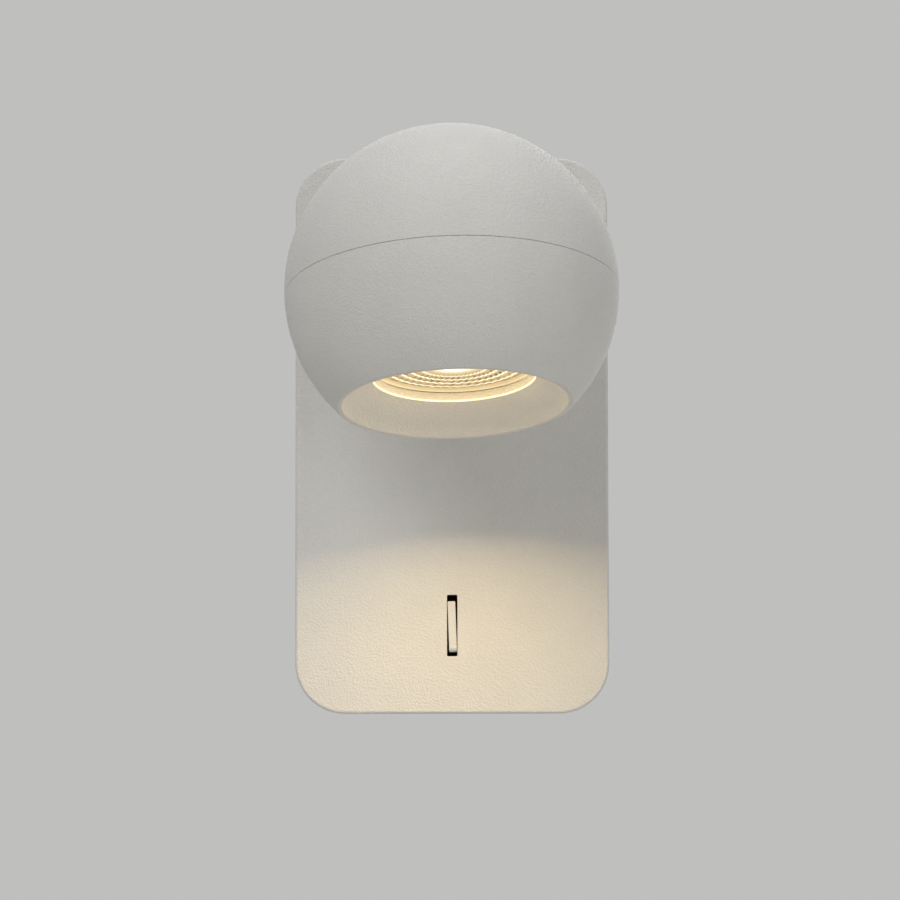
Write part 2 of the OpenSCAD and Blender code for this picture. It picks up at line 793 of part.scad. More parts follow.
module switch_spring() {
    color(brass) at_switch() translate([-leaf_w / 2, -cavity_h / 2 + fit_gap, switch_back + switch_floor])
        rotate([90, 0, 90]) linear_extrude(leaf_w) difference() {
            union() {
                square([cavity_h - 2 * fit_gap, leaf_t]);
                translate([cavity_h / 2 - fit_gap, 0]) circle(leaf_bump / 2);
            }
            translate([0, -leaf_bump]) square([cavity_h, leaf_bump]);
        }
}

module switch_blades() {
    color(brass) at_switch() both_sides()
        translate([blade_x, switch_h / 2 - blade_in + fit_gap, blade_z - blade_w / 2])
            cube([blade_t, blade_in - fit_gap + blade_out, blade_w]);
}

// Side view of the lever about its pivot: up the wall, then out of the wall
module lever_outline() {
    low = -lever_down;
    difference() {
        union() {
            difference() {
                translate([low, lever_reach - lever_body_t]) square([lever_up - low, lever_body_t]);
                translate([low - over, lever_reach - lever_round_low])
                    square([lever_round_low + over, lever_round_low + over]);
                translate([lever_up - lever_round_top, lever_reach - lever_round_top])
                    square([lever_round_top + over, lever_round_top + over]);
            }
            translate([low + lever_round_low, lever_reach - lever_round_low]) circle(lever_round_low);
            translate([lever_up - lever_round_top, lever_reach - lever_round_top]) circle(lever_round_top);
            circle(hub_r);
            translate([-nose_w / 2, nose_w / 2 - nose_l]) square([nose_w, nose_l - nose_w / 2]);
            translate([0, nose_w / 2 - nose_l]) circle(nose_w / 2);
        }
        circle(lever_pin_d / 2 + lever_play);
    }
}

module switch_lever() {
    color(paint) at_switch() translate([0, 0, pivot_z]) rotate([0, 0, lever_skew]) rotate([-lever_lean, 0, 0])
        translate([-lever_t / 2, 0, 0]) rotate([90, 0, 90]) linear_extrude(lever_t) lever_outline();
}

// Swivel
module stem_stiffener() {
    color(steel) at_bush() {
        difference() {
            translate([-stiffener_w / 2, -stiffener_w / 2, stiff_z])
                cube([stiffener_w, stiffener_w, stiffener_t]);
            translate([0, 0, stiff_z - over])
                cylinder(r = bush_d / 2 + fit_gap, h = stiffener_t + 2 * over);
        }
        translate([0, stop_r, stop_z]) cylinder(r = stop_d / 2, h = stiff_z - stop_z + stiffener_t / 2);
    }
}

module stem_bush() {
    color(nylon) at_bush() difference() {
        union() {
            translate([0, 0, stiff_z]) cylinder(r = bush_d / 2, h = bush_end_z - stiff_z);
            translate([0, 0, plate_depth]) cylinder(r = bush_flange_d / 2, h = bush_flange_t);
        }
        translate([0, 0, stiff_z - over])
            cylinder(r = stem_d / 2 + run_gap, h = bush_end_z - stiff_z + 2 * over);
    }
}

module stem() {
    color(paint) at_stem() difference() {
        union() {
            translate([0, 0, stem_end_z]) cylinder(r = stem_thread_d / 2, h = stem_l);
            translate([0, 0, stiff_z]) cylinder(r = stem_d / 2, h = ball_z - yoke_seat - stiff_z);
            translate([0, 0, collar_z]) cylinder(r = collar_d / 2, h = collar_t);
        }
        translate([0, 0, stem_end_z - over]) cylinder(r = stem_bore_d / 2, h = stem_l + 2 * over);
    }
}

module swivel_spring() {
    color(dark_steel) at_stem() translate([0, 0, spring_z])
        ring(swivel_washer_r, stem_thread_d / 2 + screw_gap, swivel_spring_t);
}

module stop_washer() {
    color(steel) at_stem() translate([0, 0, stop_z]) difference() {
        union() {
            cylinder(r = swivel_washer_r, h = stop_t);
            translate([-stop_d / 2, -stop_lug_end, 0]) cube([stop_d, stop_lug_end, stop_t]);
        }
        translate([0, 0, -over]) cylinder(r = stem_thread_d / 2 + fit_gap, h = stop_t + 2 * over);
    }
}

module stem_nut() {
    color(steel) at_stem() translate([0, 0, stem_nut_z])
        hex_nut(stem_nut_af, stem_nut_t, stem_thread_d / 2 + fit_gap);
}

module yoke() {
    color(steel) at_yoke() difference() {
        union() {
            rotate([0, 0, yoke_arc_start]) rotate_extrude(angle = 180 - 2 * yoke_arc_start)
                translate([yoke_ri, -yoke_w / 2]) square([yoke_t, yoke_w]);
            translate([0, pad_in, 0]) rotate([-90, 0, 0]) cylinder(r = pad_r, h = yoke_seat - pad_in);
            both_sides() {
                translate([yoke_ear_x, 0, -yoke_w / 2]) cube([yoke_t, yoke_ear_reach, yoke_w]);
                translate([yoke_ear_x, 0, 0]) rotate([0, 90, 0]) cylinder(r = yoke_w / 2, h = yoke_t);
            }
        }
        rotate([-90, 0, 0]) cylinder(r = stem_thread_d / 2 + fit_gap, h = ball_r);
        translate([-ball_r, 0, 0]) rotate([0, 90, 0]) cylinder(r = stud_d / 2 + fit_gap, h = ball_d);
    }
}

module yoke_nut() {
    color(steel) at_yoke() translate([0, yoke_nut_in, 0]) rotate([-90, 0, 0])
        hex_nut(stem_nut_af, yoke_nut_t, stem_thread_d / 2 + fit_gap);
}

module lead_sleeve() {
    color(white_lead) at_stem() translate([0, 0, stem_end_z - sleeving_out])
        ring(sleeving_d / 2, sleeving_d / 2 - sleeving_wall, stem_l + 2 * sleeving_out);
}

module stem_leads() {
    color(white_lead) at_stem() both_sides() translate([lead_d / 2, 0, stem_end_z - lead_tail])
        cylinder(r = lead_d / 2 - fit_gap, h = stem_l + lead_tail + lead_nose);
}

// Tilt joint
module tilt_studs() {
    color(steel) at_yoke() both_sides() rotate([0, 90, 0]) {
        translate([0, 0, stud_in]) cylinder(r = stud_d / 2, h = yoke_ear_x + yoke_t - stud_in);
        translate([0, 0, yoke_ear_x + yoke_t]) cylinder(r = rivet_r, h = rivet_t);
    }
}

module friction_discs() {
    color(fibre) at_head() both_sides() translate([frame_ear_out, 0, 0]) rotate([0, 90, 0])
        ring(ear_w / 2, stud_d / 2 + screw_gap, disc_t);
}

module tilt_springs() {
    color(dark_steel) at_yoke() both_sides() translate([tilt_spring_in, 0, 0]) rotate([0, 90, 0])
        ring(tilt_nut_af * hex_corner / 2, stud_d / 2 + screw_gap, tilt_spring_t);
}

module tilt_nuts() {
    color(steel) at_yoke() both_sides() translate([tilt_nut_in, 0, 0]) rotate([0, 90, 0])
        hex_nut(tilt_nut_af, tilt_nut_t, stud_d / 2 + fit_gap);
}

module at_posts() {
    both_sides() translate([post_r * cos(post_az), -post_r * sin(post_az), 0]) children();
}

module at_hooks(turn) {
    for (half = [0, 180]) rotate([0, 0, half + hook_az - turn]) children();
}

module carrier_frame() {
    color(steel) at_head() difference() {
        union() {
            translate([0, 0, frame_z]) ring(frame_ro, frame_ri, frame_t);
            both_sides() {
                translate([frame_ro - ear_lap, -ear_w / 2, frame_z])
                    cube([frame_ear_out - frame_ro + ear_lap, ear_w, frame_t]);
                translate([frame_ear_in, -ear_w / 2, 0]) cube([frame_t, ear_w, frame_top]);
                translate([frame_ear_in, 0, 0]) rotate([0, 90, 0]) cylinder(r = ear_w / 2, h = frame_t);
            }
        }
        translate([-ball_r, 0, 0]) rotate([0, 90, 0]) cylinder(r = stud_d / 2 + run_gap, h = ball_d);
        at_posts() translate([0, 0, frame_z - over])
            cylinder(r = screw_d / 2 + screw_gap, h = frame_t + 2 * over);
        both_sides() translate([strap_screw_x, 0, frame_z - over])
            cylinder(r = screw_d / 2 + fit_gap, h = frame_t + 2 * over);
        at_hooks(unlock_turn) rotate([0, 0, -hook_span / 2 - notch_margin])
            rotate_extrude(angle = hook_span + 2 * notch_margin)
                translate([hook_in - notch_air, frame_z - over])
                    square([frame_ro - hook_in + over, frame_t + 2 * over]);
    }
}

// Shells of the ball
module stem_slot() {
    rotate([0, 90, 0]) rotate([0, 0, 90 + tilt_min]) rotate_extrude(angle = tilt_max - tilt_min)
        translate([ball_ri - 2 * over, -slot_half]) square([ball_wall + 4 * over, 2 * slot_half]);
    for (tilt = [tilt_min, tilt_max]) rotate([tilt - 90, 0, 0]) translate([0, 0, ball_ri - 2 * over])
        cylinder(r = slot_half, h = ball_wall + 4 * over);
}

module spigot_section() {
    foot = seam_z - spigot_l;
    lip = sqrt(pow(ball_ri, 2) - pow(foot, 2)) - spigot_gap;
    polygon([
        [lip - spigot_t, foot],
        [lip, foot],
        [lip, seam_z + seam_gap / 2],
        [ball_mid_r, seam_z + seam_gap / 2],
        [ball_mid_r, seam_z + spigot_l],
        [lip - spigot_t, seam_z + spigot_l]
    ]);
}

module rear_shell() {
    color(paint) at_head() difference() {
        union() {
            rotate_extrude() intersection() {
                difference() {
                    circle(ball_r);
                    circle(ball_ri);
                }
                translate([0, seam_z + seam_gap / 2]) square([ball_r, ball_d]);
            }
            intersection() {
                at_posts() translate([0, 0, frame_top]) cylinder(r = post_d / 2, h = ball_r);
                sphere(ball_mid_r);
            }
            rotate([0, 0, spigot_start]) rotate_extrude(angle = spigot_span) spigot_section();
        }
        stem_slot();
        at_posts() translate([0, 0, frame_top - over])
            cylinder(r = screw_d / 2 + fit_gap, h = post_depth + over);
    }
}

module shell_screws() {
    color(steel) at_head() at_posts() translate([0, 0, frame_z]) mirror([0, 0, 1])
        pan_screw(screw_d, frame_t + post_depth - screw_end, pan_d / 2, pan_h);
}

// Half section of the front shell: the ball's wall, the lip, the cone and the throat
module front_section() {
    back_r = opening_r + cone_wall * cone_depth / cone_run;
    back_z = -cone_z + cone_wall * (mouth_r - opening_r) / cone_run;
    throat_r = opening_r + cone_wall;
    difference() {
        intersection() {
            circle(ball_r);
            translate([0, -mouth_z]) square([ball_r, mouth_z + seam_z - seam_gap / 2]);
        }
        difference() {
            circle(ball_ri);
            polygon([
                [0, -throat_z],
                [throat_r, -throat_z],
                [throat_r, back_z - (throat_r - back_r) * cone_slope],
                [ball_r, back_z - (ball_r - back_r) * cone_slope],
                [ball_r, -2 * ball_r],
                [0, -2 * ball_r]
            ]);
        }
        polygon([
            [0, over - throat_z],
            [opening_r, over - throat_z],
            [opening_r, -cone_z],
            [mouth_r + over, -mouth_z - over * cone_slope],
            [0, -mouth_z - over * cone_slope]
        ]);
    }
}

module hook_section() {
    polygon([
        [hook_web_in, hook_base_z - hook_base_t],
        [ball_mid_r, hook_base_z - hook_base_t],
        [ball_mid_r, hook_base_z],
        [hook_web_out, hook_base_z],
        [hook_web_out, hook_z + hook_t],
        [hook_in, hook_z + hook_t],
        [hook_in, hook_z],
        [hook_web_in, hook_z]
    ]);
}

module front_shell() {
    color(paint) at_head() {
        rotate_extrude() front_section();
        at_hooks(0) rotate([0, 0, -hook_span / 2]) rotate_extrude(angle = hook_span) hook_section();
    }
}

// Lamp holder
module strap_half() {
    translate([strap_foot_x, frame_top]) square([strap_foot_l, strap_t]);
    translate([0, holder_top]) square([strap_top_x, strap_t]);
    polygon([
        [strap_foot_x, frame_top],
        [strap_foot_x + strap_leg_w, frame_top],
        [strap_top_x + strap_leg_w, holder_top + strap_t],
        [strap_top_x, holder_top + strap_t],
        [strap_top_x, holder_top]
    ]);
}

module holder_strap() {
    color(steel) at_head() difference() {
        translate([0, strap_w / 2, 0]) rotate([90, 0, 0]) linear_extrude(strap_w) both_sides() strap_half();
        both_sides() {
            translate([holder_screw_x, 0, holder_top - over])
                cylinder(r = screw_d / 2 + screw_gap, h = strap_t + 2 * over);
            translate([strap_screw_x, 0, frame_top - over])
                cylinder(r = screw_d / 2 + screw_gap, h = strap_t + 2 * over);
        }
    }
}

module strap_screws() {
    color(steel) at_head() both_sides() translate([strap_screw_x, 0, frame_top + strap_t])
        pan_screw(screw_d, strap_t + frame_t, pan_d / 2, pan_h);
}

module at_pins() {
    for (side = [-1, 1]) translate([0, side * lamp_pin_pitch / 2, lamp_seat_z]) children();
}

module lamp_holder() {
    color(china) at_head() difference() {
        translate([0, 0, lamp_seat_z]) cylinder(r = holder_d / 2, h = holder_h);
        at_pins() translate([0, 0, -over])
            cylinder(r = lamp_pin_d / 2 + move_gap, h = lamp_pin_l + 2 * over);
        both_sides() {
            translate([holder_screw_x, 0, holder_top - holder_screw_l])
                cylinder(r = screw_d / 2 + fit_gap, h = holder_screw_l + over);
            translate([lead_hole_x, holder_d / 4, lead_hole_z]) rotate([-90, 0, 0])
                cylinder(r = lead_d / 2 + screw_gap, h = holder_d);
        }
    }
}

module holder_screws() {
    color(steel) at_head() both_sides() translate([holder_screw_x, 0, holder_top + strap_t])
        pan_screw(screw_d, strap_t + holder_screw_l - screw_end, pan_d / 2, pan_h);
}

module holder_leads() {
    color(white_lead) at_head() both_sides() tube(holder_route, lead_d);
}

// Lamp
module lamp_body() {
    rim = lamp_d / 2;
    neck = lamp_base_d / 2;
    color(lamp_grey) at_head() rotate_extrude() polygon([
        [pocket_r, lamp_face_z],
        [rim, lamp_face_z],
        [rim, lamp_face_z + bezel_h],
        [rim - bezel_chamfer, lamp_face_z + bezel_h + bezel_taper],
        [neck + base_flare, lamp_seat_z - base_l - base_flare_l],
        [neck, lamp_seat_z - base_l],
        [neck, lamp_seat_z],
        [0, lamp_seat_z],
        [0, board_z + board_t],
        [board_r + lens_gap, board_z + board_t],
        [board_r + lens_gap, board_z],
        [pocket_r - reflector_ledge, lens_back_z],
        [pocket_r, lens_back_z]
    ]);
}

module lamp_pins() {
    color(steel) at_head() at_pins() {
        cylinder(r = pin_neck_d / 2, h = lamp_pin_l);
        translate([0, 0, lamp_pin_l / 2]) cylinder(r = lamp_pin_d / 2, h = lamp_pin_l / 2);
    }
}

module led_board() {
    color(china) at_head() translate([0, 0, board_z]) {
        cylinder(r = board_r, h = board_t);
        translate([0, 0, -chip_t]) cylinder(r = chip_r, h = chip_t + board_t / 2);
    }
}

module lamp_lens() {
    ridges = [for (i = [0:lens_rings - 1]) each [
        [lens_core_r + i * lens_ring_pitch, lens_z + lens_ring_h],
        [lens_core_r + (i + 0.5) * lens_ring_pitch, lens_z]
    ]];
    color(lens_tint) at_head() rotate_extrude() polygon(concat(
        [[0, lens_back_z], [0, lens_z], [lens_core_r, lens_z]],
        ridges,
        [
            [lens_optic_r, lens_z + lens_ring_h],
            [lens_r, lens_z + lens_ring_h],
            [lens_r, lens_back_z]
        ]
    ));
}

wall_cover();
wall_bracket();
cable_grommet();
cover_screws();
terminal_block();
terminal_sleeves();
terminal_screws();
block_screw();
earth_screw();
earth_lug();
live_lead();
switched_lead();
neutral_lead();
earth_lead();
switch_body();
switch_nuts();
switch_pin();
switch_spring();
switch_blades();
switch_lever();
stem_stiffener();
stem_bush();
stem();
swivel_spring();
stop_washer();
stem_nut();
yoke();
yoke_nut();
tilt_studs();
friction_discs();
tilt_springs();
tilt_nuts();
lead_sleeve();
stem_leads();
carrier_frame();
rear_shell();
shell_screws();
holder_strap();
strap_screws();
lamp_holder();
holder_screws();
holder_leads();
lamp_body();
lamp_pins();
led_board();
lamp_lens();
front_shell();
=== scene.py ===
"""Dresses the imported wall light: painted shells, plate and stem, the lit lamp, leads, a studio and a camera."""
import json
import math

import bmesh
import bpy
import numpy as np
from mathutils import Matrix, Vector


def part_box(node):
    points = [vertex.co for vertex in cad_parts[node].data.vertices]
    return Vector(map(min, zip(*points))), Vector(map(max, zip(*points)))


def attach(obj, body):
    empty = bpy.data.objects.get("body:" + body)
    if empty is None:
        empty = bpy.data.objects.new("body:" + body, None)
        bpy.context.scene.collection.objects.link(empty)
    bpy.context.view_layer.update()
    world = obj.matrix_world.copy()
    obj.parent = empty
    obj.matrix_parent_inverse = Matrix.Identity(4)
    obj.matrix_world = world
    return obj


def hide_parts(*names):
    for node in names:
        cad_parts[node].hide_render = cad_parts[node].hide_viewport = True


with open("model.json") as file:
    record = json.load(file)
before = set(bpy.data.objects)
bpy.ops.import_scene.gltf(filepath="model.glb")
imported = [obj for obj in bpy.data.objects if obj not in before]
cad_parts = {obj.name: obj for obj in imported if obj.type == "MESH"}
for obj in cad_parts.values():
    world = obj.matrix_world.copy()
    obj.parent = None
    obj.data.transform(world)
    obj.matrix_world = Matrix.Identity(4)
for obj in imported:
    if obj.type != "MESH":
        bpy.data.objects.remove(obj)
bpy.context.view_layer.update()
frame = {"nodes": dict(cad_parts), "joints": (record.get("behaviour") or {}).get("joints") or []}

# Sizes in millimetres and angles in degrees, as in the part's source. The places and main sizes come from the
# frame.
MM = 0.001
joints = {joint["name"]: joint for joint in frame["joints"]}
cover_low, cover_high = (np.array(corner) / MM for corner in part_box("wall_cover"))

# Wall plate, with the holes for its screws and the studs that hold the switch.
PLATE_W = cover_high[0] - cover_low[0]
PLATE_H = cover_high[2] - cover_low[2]
PLATE_DEPTH = cover_high[1] - cover_low[1]
PLATE_CORNER = 16
PLATE_WALL = 1.5
PLATE_EDGE = 1
INNER_EDGE = 0.6
BACK_EDGE = 0.3
COVER_SCREW_OUT = 9
SCREW_R = 1.5
SCREW_FIT = 0.2
COUNTERSINK_R = 3.05
STUD_PITCH = 35
STUD_L = 5.6
STUD_ROOT = 0.5
CUT_PAST = 1

# Ball: two shells, the seam between them, and the front shell's lip, cone, throat and hooks.
BALL_R = (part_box("rear_shell")[1][0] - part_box("rear_shell")[0][0]) / MM / 2
BALL_WALL = 1.8
BALL_RI = BALL_R - BALL_WALL
BALL_MID_R = (BALL_R + BALL_RI) / 2
SEAM_Z = -1.2
SEAM_HALF = 0.07
SEAM_EDGE = 0.1
MOUTH_R = 33.7
LIP = 1.2
CONE_DEPTH = 8.9
CONE_WALL = 1.6
THROAT_L = 2.7
THROAT_R = 24.25
THROAT_EDGE = 0.4
LIP_EDGES = (0.45, 0.4, THROAT_EDGE, 0.3, 0.3, 0.5, 0.6)
MOUTH_Z = math.sqrt(BALL_R ** 2 - (MOUTH_R + LIP) ** 2)
CONE_Z = MOUTH_Z - CONE_DEPTH
THROAT_Z = CONE_Z - THROAT_L
STEM_SLOT_HALF = 5.4
STEM_SLOT_TILT = (10, 90)
SPIGOT_L = 2.5
SPIGOT_T = 1.2
SPIGOT_GAP = 0.25
SPIGOT_EDGE = 0.25
SPIGOT_ARC = (200, 340)
POST_R = 3.5
POST_AT = 35
POST_AZ = 25
POST_FOOT = 6.49
POST_BORE_L = 12
POST_FIT = 0.05
HOOK_AZ = 60
HOOK_SPAN = 14
HOOK_BASE = (-7.2, -4.2)
HOOK_TOP = (6.69, 8.69)
HOOK_R = (38.19, 40.09, 43.29)
HOOK_EDGE = 0.3

# Lamp: its housing, and a lens with a domed middle, ridges with prisms on their crests, and a flange.
LAMP_R = 25
LAMP_FACE = -23.95
LAMP_SEAT = 22.55
BEZEL_H = 5
BEZEL_W = 1.6
BEZEL_TAPER = (0.8, 1.2)
BASE_R = 12.2
BASE_L = 9.7
BASE_FLARE = (1.8, 2)
REFLECTOR_DEPTH = 9
BOARD_T = 1.6
BOARD_R = 17.1
LENS_LEDGE = 2
LAMP_EDGES = (0.25, 0.4, 0.5, 0.8, 1.5, 1, 0.5, 0, 0, 0.1, 0.1, 0.2, 0.1)
RIM_GLOW = 2.6
LENS_R = 23.3
LENS_FRONT = -23.6
LENS_BACK = -21.4
LENS_BACK_IN = 0.1
LENS_CORE_R = 8.8
LENS_OPTIC_R = 22
LENS_RINGS = 4
LENS_RING_PITCH = (LENS_OPTIC_R - LENS_CORE_R) / LENS_RINGS
LENS_RING_H = 0.6
LENS_PRISMS = 48
LENS_PRISM_H = 0.12
LENS_PRISM_FROM = 0.2

# Light on the lens: radii where the hot middle and the pale zone fade, then (place, half width) of the bright
# arc at a crest, the dashes on its slope and the dashes on the flange, and each ring's share of both.
LENS_HOT = (3.4, 7.4)
LENS_PALE = (6, 11)
LENS_PALE_SHARE = 0.4
LENS_WAVE = 0.35
CREST_ARC = (0.05, 0.6)
SLOPE_DASHES = (-0.8, 0.65)
FLANGE_DASHES = (0.7, 0.75)
LENS_RING_GLOW = (0.8, 1, 1, 0.8)
LENS_RING_DASHES = (0.25, 0.85, 1, 0.7)

# Switch: the slot in the plate and the lever that rocks in it.
SLOT_W = 3.3
SLOT_H = 19.5
SLOT_CORNER = 0.4
SLOT_EDGE = 0.25
LEVER_T = 2.5
LEVER_UP = 7.5
LEVER_DOWN = 8.6
LEVER_REACH = 5
LEVER_BODY = 6
LEVER_TAIL_HALF = 1.5
LEVER_TAIL_END = -6.8
LEVER_LEAN = 4
LEVER_SKEW = 2
LEVER_PIN_R = 1.08
LEVER_CORNER = 0.4
LEVER_ROUND_LOW = 1.2
LEVER_ROUND_TOP = 0.8
LEVER_ROUND_TAIL = 1.45
LEVER_EDGE = 0.35

# Swivel: the hollow stem and its bush, by their heights above the wall.
STEM_R = 5
STEM_THREAD_R = 4
STEM_BORE_R = 2.75
STEM_BODY = (16.5, 38)
STEM_ENDS = (8.76, 42.6)
STEM_EDGES = (0.3, 0.5, 0.1, 0.2, 0.1, 0.35, 0.5, 0.5, 0.3, 0.1, 0.5, 0.3)
COLLAR_R = 8
COLLAR = (22.02, 25.02)
BUSH_R = 7
BUSH_FIT = 0.05
BUSH_FLANGE_R = 11
BUSH_BORE_R = 5.05
BUSH_ENDS = (16.5, 20, 22)
BUSH_EDGES = (0.2, 0.4, 0.05, 0.15, 0.6, 0.2)

# Leads: their routes as in the part's source, held all the way by what they run between.
LEAD_R = 1
LEAD_SIDES = 16
LEAD_ASIDE = (0.86, -0.42, 0.29)
LEAD_STRIPE = (0.7, 0.76)
LIVE = ((0, -27, 8), (0, -31.5, 8), (0.6, -34, 8.2), (1.8, -36.5, 8.4), (2.8, -38.6, 8.4), (3, -40.3, 8.4))
SWITCHED = ((-3, -40.3, 8.4), (-3.4, -38.8, 8.4), (-6, -37.4, 8.2), (-11, -37.8, 7.8), (-17, -37, 7.2),
            (-20.5, -33, 6.8), (-21.5, -26, 6.6), (-21.5, -10, 6.2), (-21, 8, 5.8), (-19, 20, 5.4),
            (-13.5, 29, 5), (-8, 34.2, 4.6), (-3.5, 37.6, 4.4), (-1.4, 38.8, 5.2), (-1, 39, 6.4))
NEUTRAL = ((10, -27, 8), (10, -31.5, 8), (11.5, -34.5, 7.8), (15, -35, 7.4), (18.5, -32, 7), (20, -26, 6.6),
           (20.5, -14, 6.2), (20.5, 4, 6), (19, 18, 5.6), (14, 28, 5), (8, 34, 4.6), (3.5, 37.6, 4.4),
           (1.4, 38.8, 5.2), (1, 39, 6.4))
EARTH = ((-10, -27, 8), (-10, -31.5, 8), (-11.5, -34, 7.6), (-14.5, -34.4, 7), (-17, -31, 6.4),
         (-17.2, -24, 6), (-17, -12, 5.4), (-16.6, -2, 4.6), (-14.4, 4, 3.4), (-13, 8.8, 2.8))
HOLDER = ((3, 10, 31.8), (3, 15, 31.8), (3, 19.5, 31), (2.8, 24, 28.4), (2.6, 28, 24.6), (2.2, 31.4, 20.2),
          (1.8, 34, 15.6), (1.4, 36, 12), (1, 37.8, 9.1))

# Studio, in metres and watts: (name, place, size, power) of the soft lamps, and (name, size in millimetres,
# power, spread, colour) of the spot's own light.
STUDIO_AIM = (0, -0.05, 0)
STUDIO_LAMPS = (("key", (-0.9, -1.5, 1.3), 1.2, 17), ("fill", (1.5, -1.2, 0.3), 1.4, 7.5),
                ("top", (0.1, 0.3, 1.8), 1.2, 10), ("back", (0.3, 1.6, 0.5), 1.4, 8))
SPOT_AHEAD = 0.15
SPOT_LIGHTS = (("spot_beam", 14, 0.14, 2.45, (1.0, 0.73, 0.33)),
               ("spot_scatter", 44, 0.0095, math.pi, (1.0, 0.74, 0.35)))
FLOOR_Z = -0.32
FLOOR_R = 1.2
FLOOR_SIDES = 96
FLOOR_FADE = (0.5, 1.1)
BACKGROUND = (0.52, 0.52, 0.515, 1)
AMBIENT = 0.19
CAMERA_PLACE = (-0.0006, -0.989, -0.060)
CAMERA_PITCH = 3.25
CAMERA_ROLL = -0.10
CAMERA_LENS = 121.5
CAMERA_SENSOR = 36
CAMERA_NEAR = 0.01


# Frames: the wall (x, up, out of the wall), the ball and the switch lever, as 4 x 4 matrices.
def matrix(x, y, z, origin):
    """Columns x, y, z and an origin; millimetres in, metres out."""
    out = np.eye(4)
    out[:3, :3] = np.column_stack([x, y, z]) * MM
    out[:3, 3] = origin
    return out


def turned(place, axis, degrees, shift=(0, 0, 0)):
    """place, moved by shift and then turned about one of its own axes (0, 1 or 2)."""
    a, b = [(1, 2), (2, 0), (0, 1)][axis]
    turn = np.eye(4)
    turn[a, a] = turn[b, b] = math.cos(math.radians(degrees))
    turn[b, a] = math.sin(math.radians(degrees))
    turn[a, b] = -turn[b, a]
    turn[:3, 3] = shift
    return place @ turn


ball_centre = np.array(joints["head_tilt"]["pos_m"])
head_z = -np.array(joints["front_shell_twist"]["axis"])
head_x = -np.array(joints["head_tilt"]["axis"])
lever_pivot = np.array(joints["switch_rock"]["pos_m"])
SLOT_UP = lever_pivot[2] / MM
BALL_UP = ball_centre[2] / MM
WALL = matrix((1, 0, 0), (0, 0, 1), (0, -1, 0), (0, 0, 0))
STEM = matrix((1, 0, 0), (0, 0, 1), (0, -1, 0), (0, 0, ball_centre[2]))
HEAD = matrix(head_x, np.cross(head_z, head_x), head_z, ball_centre)
PIVOT = matrix((1, 0, 0), (0, 0, 1), (0, -1, 0), lever_pivot)
LEVER = turned(turned(PIVOT, 2, LEVER_SKEW), 0, -LEVER_LEAN)


# Surfaces: every solid is a stack of closed rings of points, worked out as whole arrays.
def loft(rings, closed=False):
    """Quads between neighbouring rings of points; the stack closes on itself, or each end gets a flat cap."""
    count, around = rings.shape[:2]
    row, col = np.meshgrid(np.arange(count if closed else count - 1), np.arange(around), indexing="ij")
    start, after = row * around, (row + 1) % count * around
    beside = (col + 1) % around
    quads = np.stack([start + col, start + beside, after + beside, after + col], -1)
    faces = quads.reshape(-1, 4).tolist()
    if not closed:
        faces.append(list(range(around))[::-1])
        faces.append(list(range((count - 1) * around, count * around)))
    return rings.reshape(-1, 3), faces


MOST_OF_SIDE = 0.49


def eased(chain, sizes, steps=6):
    """Rounds a chain's inner corners P. A and B lie a size before and after P, on its two sides, and the
    corner becomes P + (1 - sin t)(A - P) + (1 - cos t)(B - P)."""
    chain = np.asarray(chain, float)
    corner = chain[1:-1]
    back, on = chain[:-2] - corner, chain[2:] - corner
    back_l, on_l = (np.linalg.norm(v, axis=1, keepdims=True) for v in (back, on))
    size = np.broadcast_to(np.asarray(sizes, float).reshape(-1, 1), back_l.shape)
    back = (back / back_l * np.minimum(size, back_l * MOST_OF_SIDE))[:, None]
    on = (on / on_l * np.minimum(size, on_l * MOST_OF_SIDE))[:, None]
    t = np.linspace(0, math.pi / 2, steps)[None, :, None]
    return (corner[:, None] + (1 - np.sin(t)) * back + (1 - np.cos(t)) * on).reshape(-1, 2)


def eased_loop(corners, sizes, steps=6):
    """The same easing on a closed outline."""
    corners = np.asarray(corners, float)
    return eased(np.concatenate([corners[-1:], corners, corners[:1]]), sizes, steps)


def turned_solid(section, steps, span=(0, 360)):
    """A section of (distance from the axis, height) carried round the axis: (r cos a, r sin a, h)."""
    section = np.asarray(section, float)
    whole = span[1] - span[0] == 360
    angle = np.radians(np.linspace(*span, steps, endpoint=not whole))[:, None]
    r, h = section[None, :, 0], section[None, :, 1]
    return loft(np.stack([r * np.cos(angle), r * np.sin(angle), h + 0 * angle], -1), closed=whole)


def rod(radius, low, high, steps):
    """A plain round rod between two heights, for studs and cutters."""
    return turned_solid(((0, low), (radius, low), (radius, high), (0, high)), steps)


def moved(solid, shift):
    """A solid, shifted."""
    return solid[0] + np.asarray(shift, float), solid[1]


def rounded_outline(half_w, half_h, radius, grow, steps):
    """Rounded rectangles, one for each grow: corner centres plus (radius + grow) times the direction."""
    quarters = np.array([0, 90, 180, 270])[:, None]
    angle = np.radians(np.linspace(0, 90, steps)[None, :] + quarters).reshape(-1)
    side_x = np.array([1, -1, -1, 1]).repeat(steps)
    side_y = np.array([1, 1, -1, -1]).repeat(steps)
    reach = radius + np.asarray(grow, float)[:, None]
    x = side_x * (half_w - radius) + reach * np.cos(angle)
    y = side_y * (half_h - radius) + reach * np.sin(angle)
    return np.stack([x, y], -1)


def pillar(outlines, heights):
    """Rings with one outline each at the given heights."""
    heights = np.broadcast_to(np.asarray(heights, float)[:, None, None], outlines.shape[:2] + (1,))
    return loft(np.concatenate([outlines, heights], -1))


